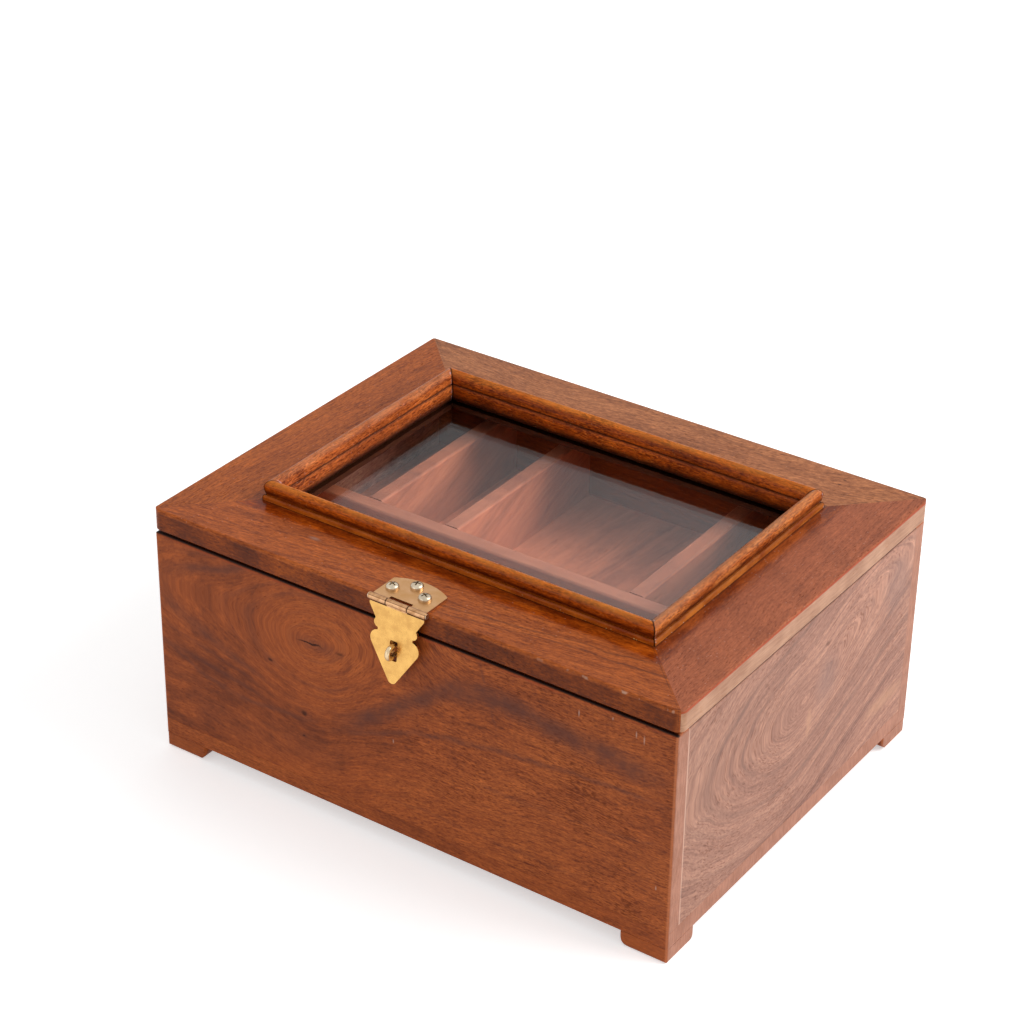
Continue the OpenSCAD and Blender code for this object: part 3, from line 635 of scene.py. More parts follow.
# Rings: distance from the knot, width, strength.
KNOT_RINGS = ((0.0085, 0.0012, 0.24), (0.0135, 0.0010, 0.18), (0.0210, 0.0022, 0.36),
              (0.0255, 0.0013, 0.26))
OUTER_KNOT_RINGS = ((0.0330, 0.0026, 0.62), (0.0375, 0.0014, 0.28), (0.0425, 0.0018, 0.36))
SWIRL_RINGS = (
    (0.0120, 0.0009, 0.22), (0.0165, 0.0012, 0.34), (0.0205, 0.0007, 0.34), (0.0235, 0.0016, 0.46),
    (0.0275, 0.0007, 0.30), (0.0310, 0.0009, 0.30), (0.0345, 0.0024, 0.66), (0.0368, 0.0007, 0.42),
    (0.0410, 0.0009, 0.28), (0.0465, 0.0014, 0.28), (0.0530, 0.0018, 0.24))

# Streaks: the places they run through, width, strength.
BROAD_SMOKE = ((-0.037, 0.0447), (-0.010, 0.063), (0.006, 0.0747), (0.023, 0.0863),
               (0.040, 0.0905), (0.056, 0.0905), (0.081, 0.0872), (0.127, 0.0847))
FRONT_STREAKS = (
    (((0.000, 0.072), (0.023, 0.0890), (0.040, 0.0925), (0.060, 0.0915), (0.127, 0.083)), 0.0022, 0.5),
    (((-0.034, 0.0447), (-0.010, 0.0538), (0.006, 0.0597), (0.023, 0.0638), (0.073, 0.0705),
      (0.127, 0.0738)), 0.0022, 0.6),
    (((-0.127, 0.0563), (-0.110, 0.048), (-0.094, 0.043), (-0.069, 0.0422), (-0.040, 0.0465)),
     0.0020, 0.55),
    (((-0.115, 0.029), (-0.090, 0.026), (-0.060, 0.029), (-0.025, 0.031)), 0.0120, 0.22),
    (((0.010, 0.0115), (0.040, 0.0125), (0.075, 0.010), (0.127, 0.013)), 0.0040, 0.45),
    (((0.030, 0.0470), (0.070, 0.0485), (0.127, 0.056)), 0.0014, 0.30),
    (((-0.020, 0.021), (0.030, 0.024), (0.090, 0.023)), 0.0016, 0.25))

# Pin knots: across, up, size. Scuffs: across, up, height.
PIN_KNOTS = ((-0.0670, 0.0668, 0.0018), (-0.0500, 0.0470, 0.0020), (-0.0505, 0.0360, 0.0011))
FRONT_SCUFFS = (
    (0.0830, 0.1005, 0.0022), (0.1085, 0.1005, 0.0020), (0.1120, 0.1000, 0.0030),
    (-0.0045, 0.0512, 0.0012), (0.1200, 0.0347, 0.0012), (0.098, 0.1035, 0.0012))


def end_tint(g, coords, colour):
    """The ends that show on the box's sides, in the side walls' colour with its painted sheen, and a
    painted highlight on their arris.
    """
    x = g.math("ABSOLUTE", g.split(coords)[0])
    half = node_box("front_panel")[1].x
    # painted highlight along the rounded corner
    colour = g.blend(g.times(soft_line(g, x, half - 0.0006, 0.0008), 0.6), colour, END_ARRIS_HIGHLIGHT)
    face = g.remap(x, half - 0.0003, half - 0.0001, 0.0, 0.85)
    upright = g.noise(g.vector("MULTIPLY", coords, (1.0, 1.0, 0.15)), 1200.0, 3.0, 0.6)
    mottle = g.plus(g.times(g.noise(coords, 90.0, 3.0, 0.6), 0.45), g.times(upright, 0.55))
    # the ends take the side walls' colour, with the sheen painted into it
    red, green, blue = settings().wood.side
    light = (red * 1.15, green * 1.12, blue * 1.1, 1.0)
    deep = (red * 0.82, green * 0.75, blue * 0.7, 1.0)
    return g.blend(face, colour, g.blend(g.remap(mottle, 0.40, 0.60), deep, light))


def painted_gap_shade(g, z, colour, node, inward, strength=1.0):
    """Painted shade on the outer rim of a wall's top, where the gap under the lid lies in shadow."""
    top = node_box(node)[1].z
    outer = g.remap(inward, 0.0010, 0.0026, strength, 0.0, smooth=True)
    # painted shade: the outer rim of the top darkened as the gap under the lid's shadow
    return darken(g, colour, g.times(g.remap(z, top - 0.0008, top - 0.0003), outer), RIM_GAP_SHADE)


def painted_arris_highlight(g, coords, colour, node, tint):
    """A painted highlight, patchy along its length, on the arris just below a wall's top."""
    z, top = g.split(coords)[2], node_box(node)[1].z
    patchy = g.remap(g.noise(coords, 90.0, 2.0), 0.4, 0.6, 0.3, 0.8)
    # painted highlight along the arris
    return g.blend(g.times(soft_line(g, z, top - 0.0011, 0.0007), patchy), colour, tint)


def rings_round(g, distance, rings):
    """A mask of soft growth rings, each given by its distance, width and strength."""
    total = 0.0
    for place, width, strength in rings:
        total = add_mask(g, total, soft_line(g, distance, place, width), strength)
    return total


def knot_rings(g, coords, x, distance):
    """The dark rings round the front wall's knot, strongest on its left."""
    left = g.remap(x, -0.062, -0.085, 0.35, 1.0, smooth=True)
    fade = g.remap(x, 0.010, -0.035, 0.0, 1.0, smooth=True)
    patchy = g.remap(g.noise(coords, 30.0, 2.0), 0.35, 0.6, 0.35, 1.0)
    near, far = rings_round(g, distance, KNOT_RINGS), rings_round(g, distance, OUTER_KNOT_RINGS)
    return g.times(g.math("MAXIMUM", near, g.times(far, left)), fade, patchy)


def front_smoke(g, coords, x, z):
    """The smoky streaks that rise to the right across the front wall."""
    smoke = g.times(streak(g, x, z, BROAD_SMOKE, 0.0085, 0.02), 0.90)
    for points, width, strength in FRONT_STREAKS:
        smoke = add_mask(g, smoke, streak(g, x, z, points, width), strength)
    lean = g.math("MULTIPLY_ADD", g.minus(z, 0.09), 0.28, x)
    upright = g.times(soft_line(g, lean, 0.0415, 0.0014), g.remap(z, 0.074, 0.082),
                      g.remap(z, 0.1, 0.106, 1.0, 0.0))
    smoke = add_mask(g, smoke, upright, 0.5)
    return g.times(smoke, g.remap(g.noise(coords, 85.0, 3.0, 0.7), 0.3, 0.6, 0.45, 1.0))


def front_marks(g, at, colour, height, rough):
    """The knot with its rings and crack, the smoky streaks and the scuffs on the front."""
    x, y, z = g.split(at.coords)

    def mark(places, px, pz, wide, tall, soft):
        """A soft oval on the front wall's face."""
        return spot(g, places, (px, WALL_FRONT, pz), (wide, 0.01, tall), soft)

    colour = slant(g, colour, x, -0.10, 0.09, 1.15, 0.92)
    colour = darken(g, colour, knot_rings(g, at.coords, x, at.knot), SMOKE)
    colour = darken(g, colour, front_smoke(g, at.coords, x, z), SMOKE)
    # the knot's crack and the pin knots
    bent = g.join(x, y, g.plus(z, g.times(g.waver(at.coords, 160.0, 2.0), 0.004)))
    crack = mark(bent, -0.0460, 0.0825, 0.0085, 0.0007, 0.7)
    crack = add_mask(g, crack, mark(bent, -0.0310, 0.0830, 0.0030, 0.0010, 0.9), 0.6)
    halo = mark(at.coords, -0.0415, 0.0825, 0.0200, 0.0050, 0.95)
    for px, pz, size in PIN_KNOTS:
        crack = add_mask(g, crack, mark(bent, px, pz, size, size * 0.75, 0.7), 0.75)
        halo = add_mask(g, halo, mark(bent, px, pz, size * 3, size * 2, 0.9), 0.6)
    colour = darken(g, colour, g.times(halo, 0.45), SMOKE)
    colour = darken(g, colour, g.times(crack, 0.92), KNOT_DARK)
    scuff = 0.0
    for px, pz, tall in FRONT_SCUFFS:
        scuff = add_mask(g, scuff, mark(bent, px, pz, 0.0005, tall, 0.8), 0.45)
    colour = g.blend(scuff, colour, SCUFF_PALE)
    # painted highlight along the arris under the top
    colour = painted_arris_highlight(g, at.coords, colour, "front_panel", FRONT_ARRIS_HIGHLIGHT)
    colour = end_tint(g, at.coords, colour)
    # painted shade along the top rim, for the gap under the lid
    colour = painted_gap_shade(g, z, colour, "front_panel", g.minus(y, WALL_FRONT))
    return colour, g.minus(height, crack), g.plus(rough, g.times(crack, 0.3))


def side_marks(g, at, colour, height, rough):
    """The swirl of dark rings and the greyish patches on the right wall."""
    x, y, z = g.split(at.coords)
    near, face = node_box("right_panel")[0].y, node_box("right_panel")[1].x

    def mark(places, py, pz, wide, tall, soft):
        """A soft oval on the right wall's face."""
        return spot(g, places, (face, py, pz), (0.02, wide, tall), soft)

    colour = slant(g, colour, y, -0.085, 0.085, 0.91, 1.09)
    patchy = g.remap(g.noise(at.coords, 26.0, 2.0), 0.35, 0.6, 0.45, 1.0)
    rings = g.times(rings_round(g, at.knot, SWIRL_RINGS), patchy)
    colour = darken(g, colour, rings, SWIRL_DARK)
    grey = mark(at.coords, 0.0215, 0.0700, 0.0130, 0.0170, 0.9)
    grey = add_mask(g, grey, mark(at.coords, 0.0790, 0.0860, 0.0150, 0.0190, 0.7), 0.9)
    colour = g.blend(g.times(grey, 0.45), colour, (0.270, 0.160, 0.135, 1.0))
    warm = mark(at.coords, 0.0080, 0.0560, 0.0030, 0.0100, 0.9)
    warm = add_mask(g, warm, mark(at.coords, 0.0760, 0.0300, 0.0260, 0.0060, 0.9), 1.0)
    colour = g.blend(g.times(warm, 0.55), colour, (0.55, 0.290, 0.175, 1.0))
    # small dark faults
    wobble = g.times(g.waver(at.coords, 160.0, 2.0), 0.004)
    bent = g.join(x, g.plus(y, wobble), g.plus(z, wobble))
    dark = mark(bent, 0.0200, 0.0875, 0.0040, 0.0014, 0.8)
    dark = add_mask(g, dark, mark(bent, -0.0765, 0.0200, 0.0009, 0.0030, 0.8), 0.8)
    dark = add_mask(g, dark, mark(bent, 0.0550, 0.0875, 0.0030, 0.0008, 0.8), 0.5)
    colour = darken(g, colour, g.times(dark, 0.65), SMOKE)
    # the pale joint with the front wall
    seam = g.times(soft_line(g, y, near + 0.0004, 0.0007),
                   g.remap(g.noise(at.coords, 60.0, 2.0), 0.35, 0.6, 0.25, 0.7))
    colour = g.blend(seam, colour, JOINT_PALE)
    # painted shade along the top rim, weaker here, for the gap under the lid
    colour = painted_gap_shade(g, z, colour, "right_panel", g.minus(face, x), 0.7)
    return colour, g.minus(height, g.times(rings, 0.2)), rough


def back_marks(g, at, colour, height, rough):
    """The back wall, with painted shade on its inside face."""
    inner = node_box("back_panel")[0].y
    # painted shade: the inside face darkened for the shadow under the back moulding
    shade = g.remap(g.split(at.coords)[1], inner + 0.0002, inner + 0.0012, 1.0, 0.0)
    colour = g.blend(shade, colour, (0.42, 0.36, 0.36, 1.0), "MULTIPLY")
    return end_tint(g, at.coords, colour), height, rough


def divider_top_shade(node):
    """A divider's painted shade on its top edge."""

    def marks(g, at, colour, height, rough):
        """The top edge, darkened as painted shade against the key light that falls on it."""
        top = node_box(node)[1].z
        # painted shade on the top edge, which the key light lights strongly
        worn = g.remap(g.split(at.coords)[2], top - 0.0006, top - 0.0002)
        return g.blend(worn, colour, (0.74, 0.76, 0.80, 1.0), "MULTIPLY"), height, rough

    return marks


def base_marks(g, at, colour, height, rough):
    """The base board and the feet, pale on the box's sides."""
    return end_tint(g, at.coords, colour), height, rough


class TEABOX_OT_walls(bpy.types.Operator):
    """Stain the four walls and the base board"""
    bl_idname = "teabox.walls"
    bl_label = "Walls and base"

    def execute(self, context):
        wood = settings().wood
        front, side = tones(wood.front), tones(wood.side)
        calm = {"Band Strength": 0.40, "Line Strength": 0.25, "Cloud Strength": 0.6,
                "Pore Strength": 0.5, "Fibre Strength": 1.0}
        dress("front_panel", wood_material(
            "front_wall_wood", "x", "z", front, seed=3.1, marks=front_marks,
            rings={"Knot": (-0.0437, 0.082, 0.0), "Knot Left": 1.5, "Knot Right": 1.6,
                   "Knot Rise": 0.26, "Knot Reach": 0.030, "Knot Weight": 0.95, "Tilt": 0.02,
                   "Wander": 0.012, "Wander Scale": 22.0, "Spacing": 0.0060},
            strengths={"Band Strength": 0.28, "Line Strength": 0.18, "Cloud Strength": 0.80,
                       "Pore Strength": 0.60, "Fibre Strength": (-0.06, 0.03, 0.65, 1.25)},
            fibres={"Pore Amount": (-0.09, 0.07, 0.35, 1.25), "Pore Scale": 1800.0}, roughness=0.38,
            bump=0.2))
        dress("back_panel", wood_material(
            "back_wall_wood", "x", "z", front, seed=8.4, marks=back_marks,
            rings={"Knot": (0.02, 0.150, 0.0), "Knot Left": 3.2, "Knot Right": 2.6,
                   "Knot Weight": 0.8, "Wander": 0.014, "Spacing": 0.009}, strengths=calm,
            roughness=0.38))
        dress("right_panel", wood_material(
            "right_wall_wood", "y", "z", side, seed=5.7, marks=side_marks,
            rings={"Knot": (0.003, 0.0676, 0.0), "Knot Left": 2.0, "Knot Right": 4.5,
                   "Knot Rise": 0.36, "Knot Open": 1.1, "Knot Weight": 0.95, "Wander": 0.012,
                   "Wander Scale": 24.0, "Spacing": 0.0060},
            strengths={"Band Strength": 0.36, "Line Strength": 0.50, "Cloud Strength": 0.34,
                       "Pore Strength": 0.36, "Fibre Strength": 0.70},
            fibres={"Pore Amount": 0.9, "Pore Scale": 2100.0}, roughness=0.42))
        dress("left_panel", wood_material(
            "left_wall_wood", "y", "z", side, seed=12.9,
            rings={"Knot": (-0.03, 0.135, 0.0), "Knot Left": 2.6, "Knot Right": 2.2,
                   "Knot Weight": 0.85, "Wander": 0.014, "Spacing": 0.009}, strengths=calm,
            roughness=0.4))
        dress("base_board", wood_material(
            "base_wood", "x", "y", front, seed=15.2, marks=base_marks,
            rings={"Tilt": 0.03, "Spacing": 0.007}, strengths=calm, roughness=0.4))
        return {"FINISHED"}


class TEABOX_OT_feet(bpy.types.Operator):
    """Stain the four feet"""
    bl_idname = "teabox.feet"
    bl_label = "Feet"

    def execute(self, context):
        colours = tones(settings().wood.front)
        for n, place in enumerate(("front_left", "front_right", "back_left", "back_right")):
            dress(f"foot_{place}", wood_material(
                f"foot_{place}_wood", "x", "y", colours, seed=20.0 + 3.3 * n, marks=base_marks,
                rings={"Spacing": 0.004, "Wander": 0.006, "Wander Scale": 60.0}, roughness=0.4))
        return {"FINISHED"}


class TEABOX_OT_inside(bpy.types.Operator):
    """Finish the floor and the dividers"""
    bl_idname = "teabox.inside"
    bl_label = "Compartments"

    def execute(self, context):
        inside = settings().wood.inside
        finish = {
            "strengths": {"Band Strength": 0.30, "Line Strength": 0.2, "Pore Strength": 0.25,
                          "Cloud Strength": 0.5, "Fibre Strength": 0.35},
            "fibres": {"Fibre Scale": 500.0, "Pore Scale": 800.0},
            "roughness": 0.5, "bump": 0.06, "gloss": DULL_GLOSS}
        # The floor is painted lighter than the dividers: painted light that lifts its shaded parts.
        dress("compartment_floor", wood_material(
            "floor_wood", "y", "x", tones([part * 1.14 for part in inside]), seed=31.0,
            rings={"Tilt": 0.08, "Spacing": 0.010, "Wander": 0.03}, **finish))
        dress("long_divider", wood_material(
            "long_divider_wood", "x", "z", tones(inside), seed=33.0,
            marks=divider_top_shade("long_divider"),
            rings={"Tilt": 0.05, "Spacing": 0.008, "Wander": 0.02}, **finish))
        for n, (place, tilt) in enumerate((("left", 0.35), ("middle", 0.35), ("right", 0.12))):
            node = f"cross_divider_{place}"
            dress(node, wood_material(
                node + "_wood", "y", "z", tones(inside), seed=36.0 + 2.7 * n,
                marks=divider_top_shade(node), rings={"Tilt": tilt, "Spacing": 0.007, "Wander": 0.02},
                **finish))
        return {"FINISHED"}


# ---- lid -------------------------------------------------------------------

# Painted shade for the creases at the moulding's foot and in its quirk.
CREASE_SHADE = (0.050, 0.012, 0.004)
LID_SMOKE = (0.075, 0.020, 0.010)
LID_MITRE = (0.060, 0.016, 0.007)
LID_DUST = (0.66, 0.42, 0.33, 1.0)

# How far the varnish runs out from the moulding's foot on each board, and its strength.
VARNISH_RUN = {"front": (0.0085, 1.0), "left": (0.0050, 0.45), "right": (0.0075, 0.85),
               "back": (0.0025, 0.35)}
LID_FRONT_STREAKS = (
    (((0.000, -0.0920), (0.030, -0.0840), (0.060, -0.0800), (0.110, -0.0720)), 0.0012, 0.5),
    (((0.010, -0.0935), (0.045, -0.0860), (0.080, -0.0815), (0.120, -0.0790)), 0.0010, 0.45),
    (((-0.085, -0.0800), (-0.050, -0.0760), (-0.010, -0.0715), (0.050, -0.0660)), 0.0014, 0.3),
    (((-0.105, -0.0860), (-0.070, -0.0855), (-0.035, -0.0820)), 0.0010, 0.3))
LID_BACK_STREAK = ((-0.090, 0.088), (-0.060, 0.0945), (-0.010, 0.0960), (0.060, 0.0900),
                   (0.100, 0.0840))


def frame_distance(g, coords):
    """How far outside the moulding's outer foot a place on the lid is, over all and each way."""
    low, high = node_box("moulding_front")
    near, far = low.y, node_box("moulding_back")[1].y
    x, y, _ = g.split(coords)
    off_x = g.math("ABSOLUTE", g.minus(x, (low.x + high.x) / 2))
    off_y = g.math("ABSOLUTE", g.minus(y, (near + far) / 2))
    out_x, out_y = g.minus(off_x, (high.x - low.x) / 2), g.minus(off_y, (far - near) / 2)
    return g.math("MAXIMUM", out_x, out_y), out_x, out_y


def varnish_run(g, coords, vector, colour, rough, side):
    """The varnish that ran out round the moulding's foot, and painted shade in the crease at the foot.
    """
    distance = frame_distance(g, coords)[0]
    top = g.remap(g.split(coords)[2], LID_TOP - 0.0007, LID_TOP - 0.0002)
    reach, strength = VARNISH_RUN[side]
    wave = g.times(g.waver(coords, 28.0, 3.0), 0.009)
    run = g.times(g.remap(g.plus(distance, wave), reach * 0.6, reach, 1.0, 0.0, smooth=True),
                  top, strength)
    pooled = g.remap(g.noise(g.drawn(vector, 0.3), 190.0, 3.0, 0.6), 0.38, 0.62)
    tone = g.blend(pooled, (0.48, 0.26, 0.07, 1.0), (1.05, 0.82, 0.30, 1.0))
    colour = g.blend(run, colour, tone, "MULTIPLY")
    # painted shade in the crease where the moulding meets the board
    foot = g.times(soft_line(g, distance, -0.0013, 0.0012), top)
    colour = darken(g, colour, g.times(foot, 0.75), CREASE_SHADE)
    return colour, g.times(rough, g.minus(1.0, g.times(run, 0.6)))


def lid_faults(g, coords, colour, side):
    """Dark streaks, small faults and a slow change of tone along a lid board."""
    x, y, _ = g.split(coords)
    if side == "left":
        return colour
    smoke = 0.0
    if side == "front":
        for points, width, strength in LID_FRONT_STREAKS:
            smoke = add_mask(g, smoke, streak(g, x, y, points, width), strength)
        colour = slant(g, colour, x, -0.10, 0.03, 1.15, 0.97)
        worn = spot(g, coords, (-0.0580, -0.0760, LID_TOP), (0.0040, 0.0016, 0.002), 0.9)
        colour = g.blend(g.times(worn, 0.35), colour, (0.55, 0.36, 0.28, 1.0))
    elif side == "back":
        for place in ((0.0915, 0.0925, LID_TOP), (0.0915, 0.0880, LID_TOP)):
            smoke = add_mask(g, smoke, spot(g, coords, place, (0.0013, 0.0008, 0.01), 0.7), 0.85)
        smoke = add_mask(g, smoke, streak(g, x, y, LID_BACK_STREAK, 0.0016, 0.03), 0.22)
    else:
        bands = g.math("SINE", g.times(g.plus(y, g.times(x, 0.6)), 190.0))
        smoke = g.times(g.remap(bands, 0.2, 1.0), 0.13)
    return darken(g, colour, smoke, LID_SMOKE)


def lid_front_edge(g, coords, vector, colour, band):
    """The dark edge along the lid's front, with chips in its arris towards the right."""
    x, y, z = g.split(coords)
    face = g.remap(y, LID_FRONT + 0.0006, LID_FRONT)
    tone = g.blend(g.remap(g.noise(vector, 60.0, 3.0), 0.35, 0.65), (0.36, 0.27, 0.13, 1.0),
                   (0.68, 0.58, 0.32, 1.0))
    colour = g.blend(g.times(face, band), colour, tone, "MULTIPLY")
    chips = g.times(g.remap(g.noise(coords, 240.0, 2.0), 0.56, 0.64), g.remap(x, 0.05, 0.12))
    arris = g.times(soft_line(g, z, LID_TOP - 0.0006, 0.0012), face)
    return g.blend(g.times(chips, arris, 0.8), colour, (0.75, 0.55, 0.42, 1.0))


def lid_right_edge(g, coords, vector, colour, band, half):
    """The pale edge of the lid's right side, painted paler for the sheen that the right side shows,
    with a painted highlight on its arris.
    """
    x, _, z = g.split(coords)
    face = g.remap(x, half - 0.0006, half - 0.0001)
    drawn = g.noise(g.drawn(vector, 0.08), 1300.0, 3.0, 0.6)
    mottle = g.plus(g.times(g.noise(vector, 90.0, 3.0), 0.5), g.times(drawn, 0.5))
    tone = g.blend(g.remap(mottle, 0.38, 0.62), (0.36, 0.170, 0.096, 1.0), (0.52, 0.280, 0.172, 1.0))
    # painted sheen: the right edge face paler, like the right wall
    colour = g.blend(g.times(face, band), colour, tone)
    # painted highlight along the arris at the top of the right edge
    arris = g.times(soft_line(g, z, LID_TOP - 0.0010, 0.0007), g.remap(x, half - 0.0012, half))
    return g.blend(g.times(arris, 0.85), colour, (0.40, 0.060, 0.018, 1.0))


def lid_marks(side):
    """The marks of one of the lid's boards."""

    def marks(g, at, colour, height, rough):
        """The varnish round the moulding, the faults, the dust, the mitres and the edges."""
        x, y, z = g.split(at.coords)
        colour, rough = varnish_run(g, at.coords, at.grain, colour, rough, side)
        colour = lid_faults(g, at.coords, colour, side)
        flecks = dust(g, at.coords, 1000.0, 0.38, 0.05 if side == "right" else 0.015)
        colour = g.blend(g.times(flecks, 0.22), colour, LID_DUST)
        # the mitres
        half = node_box("lid_front_board")[1].x
        deep = (node_box("lid_back_board")[1].y - LID_FRONT) / 2
        off_x = g.minus(half, g.math("ABSOLUTE", x))
        off_y = g.minus(deep, g.math("ABSOLUTE", g.minus(y, BODY_MIDDLE_Y)))
        mitre = soft_line(g, g.minus(off_x, off_y), 0.0, 0.0006)
        worn = g.remap(g.noise(at.coords, 60.0, 2.0), 0.35, 0.6, 0.08, 0.5)
        colour = darken(g, colour, g.times(mitre, worn), LID_MITRE)
        band = g.remap(z, LID_TOP - 0.0010, LID_TOP - 0.0018)
        if side == "front":
            colour = lid_front_edge(g, at.coords, at.grain, colour, band)
        if side == "right":
            colour = lid_right_edge(g, at.coords, at.grain, colour, band, half)
        return colour, height, rough

    return marks


class TEABOX_OT_lid_boards(bpy.types.Operator):
    """Stain the lid's four mitred boards and the strips under the glass"""
    bl_idname = "teabox.lid_boards"
    bl_label = "Lid boards"

    def execute(self, context):
        wood = settings().wood
        kinds = {
            "front": ("x", "y", 41.0, {"Tilt": 0.14, "Spacing": 0.006, "Wander": 0.010}, 0.45, 0.5),
            "back": ("x", "y", 44.0, {"Knot": (-0.06, 0.115, 0.0), "Knot Left": 2.2, "Knot Right": 2.2,
                                      "Knot Weight": 0.8, "Spacing": 0.010, "Wander": 0.014}, 0.3, 0.4),
            "left": ("y", "x", 47.0, {"Tilt": 0.06, "Spacing": 0.008, "Wander": 0.010}, 0.25, 0.35),
            "right": ("y", "x", 51.0, {"Tilt": -0.05, "Spacing": 0.010, "Wander": 0.014}, 0.2, 0.25),
        }
        for side, (grain, across, seed, rings, bands, clouds) in kinds.items():
            colours = tones(getattr(wood, "lid_" + side))
            dress(f"lid_{side}_board", wood_material(
                f"lid_{side}_wood", grain, across, colours, seed=seed, rings=rings,
                marks=lid_marks(side), bump=0.2,
                strengths={"Band Strength": bands, "Cloud Strength": clouds, "Line Strength": 0.25,
                           "Pore Strength": 0.55, "Fibre Strength": 0.8 if side == "right" else 1.2},
                fibres={"Pore Amount": 0.7, "Pore Scale": 1800.0}))
        colours = tones(wood.strips)
        for side, grain, across, seed in (("front", "x", "y", 55.0), ("back", "x", "y", 55.0),
                                          ("left", "y", "x", 58.0), ("right", "y", "x", 58.0)):
            node = f"glass_strip_{side}"
            dress(node, wood_material(node + "_wood", grain, across, colours, seed=seed,
                                      gloss=DULL_GLOSS))
        return {"FINISHED"}


def moulding_profile():
    """The moulding's outline: inward from its outer foot, and up from the lid."""
    low, high = node_box("moulding_front")
    width, crest, hang = high.y - low.y, high.z - LID_TOP, LID_TOP - low.z
    lap = 4.9 * MM
    quirk = crest - 5.6 * MM
    half = (quirk + hang) / 2

    def arc(cx, cy, rx, ry, start, end, count):
        """Points on an oval, its angles in degrees."""
        turns = [math.radians(start + (end - start) * i / count) for i in range(count + 1)]
        return [(cx + rx * math.cos(t), cy + ry * math.sin(t)) for t in turns]

    # the foot and its bead
    points = [(lap, 0.0), (1.35 * MM, 0.0)]
    points += arc(2.15 * MM, 1.15 * MM, 0.8 * MM, 1.15 * MM, 180, 60, 7)
    # the groove and the raised crest
    points += [(2.55 * MM, 2.6 * MM), (2.2 * MM, 3.3 * MM)]
    points += arc(4.2 * MM, crest - 3.2 * MM, 2.45 * MM, 3.2 * MM, 168, 90, 9)
    points += arc(3.9 * MM, quirk, 3.6 * MM, 5.6 * MM, 84, 6, 10)
    # the quirk and the round that hangs inside the window
    points += [(7.15 * MM, quirk)]
    points += arc(7.3 * MM, quirk - half, width - 7.3 * MM, half * 0.97, 86, -88, 12)
    points += [(lap, -hang)]
    return points


def smooth_faces(g, mesh):
    """A mesh shaded smooth, but for its sharp edges."""
    angle = g.add("GeometryNodeInputMeshEdgeAngle").outputs[0]
    soft = g.add("FunctionNodeCompare", {0: angle, 1: SMOOTH_BELOW}, operation="LESS_THAN").outputs[0]
    return g.add("GeometryNodeSetShadeSmooth", {"Geometry": mesh, "Shade Smooth": soft},
                 domain="EDGE").outputs[0]


def moulding_tree():
    """A mitred length of moulding swept from its outline."""
    tree, g, i, o = new_group("GeometryNodeTree", "Mitred Moulding", [
        ("Geometry", "Geometry"), ("Length", 0.2), ("Depth", 0.1), ("Turn", 0.0), ("Gap", 0.0002),
        ("Waver", 0.0002), ("Steps", 60), ("Points", 40), ("Seed", 0), ("Place", (0.0, 0.0, 0.0)),
        ("Material", "Material"),
    ], [("Geometry", "Geometry")])
    outline = g.add("GeometryNodeMeshToCurve", {"Mesh": i["Geometry"]}).outputs[0]
    path = g.add("GeometryNodeCurvePrimitiveLine", {
        "Start": (-0.5, 0, 0), "End": (0.5, 0, 0)}).outputs[0]
    path = g.add("GeometryNodeResampleCurve", {"Curve": path, "Count": i["Steps"]}).outputs[0]
    swept = g.add("GeometryNodeCurveToMesh", {"Curve": path, "Profile Curve": outline,
                                              "Fill Caps": True}).outputs[0]
    # each point's place in the outline, and how far along it stands
    index = g.add("GeometryNodeInputIndex").outputs[0]
    around = g.math("MODULO", index, i["Points"])
    step = g.math("FLOOR", g.math("DIVIDE", g.plus(index, 0.5), i["Points"]))
    along = g.math("DIVIDE", step, g.minus(i["Steps"], 1.0))
    position = g.add("GeometryNodeInputPosition").outputs[0]
    sample = g.add("GeometryNodeSampleIndex", {
        "Geometry": i["Geometry"], "Value": position, "Index": around,
    }, data_type="FLOAT_VECTOR", domain="POINT")
    u, v, _ = g.split(sample.outputs[0])
    # the mitres shorten it from foot to window, and the profile wavers a little
    share = g.minus(g.times(along, 2.0), 1.0)
    x = g.times(share, g.minus(g.minus(g.times(i["Length"], 0.5), u), i["Gap"]))
    sway = g.noise(g.join(x, g.times(u, 6.0), g.times(i["Seed"], 0.7)), 70.0, 2.0)
    lift = g.noise(g.join(x, g.times(v, 5.0), g.times(i["Seed"], 1.3)), 50.0, 2.0)
    over = g.math("GREATER_THAN", v, 0.0002)
    u = g.plus(u, g.times(sway, i["Waver"], over))
    v = g.minus(v, g.times(lift, i["Waver"], over))
    place = g.join(x, g.minus(u, g.times(i["Depth"], 0.5)), v)
    shaped = g.add("GeometryNodeSetPosition", {"Geometry": swept, "Position": place}).outputs[0]
    shaped = g.add("GeometryNodeFlipFaces", {"Mesh": shaped}).outputs[0]
    placed = g.add("GeometryNodeTransform", {
        "Geometry": smooth_faces(g, shaped), "Translation": i["Place"],
        "Rotation": g.join(0.0, 0.0, i["Turn"])}).outputs[0]
    real = g.add("GeometryNodeRealizeInstances", {"Geometry": placed}).outputs[0]
    g.put(o[0], g.add("GeometryNodeSetMaterial", {
        "Geometry": real, "Material": i["Material"]}).outputs[0])
    return tree


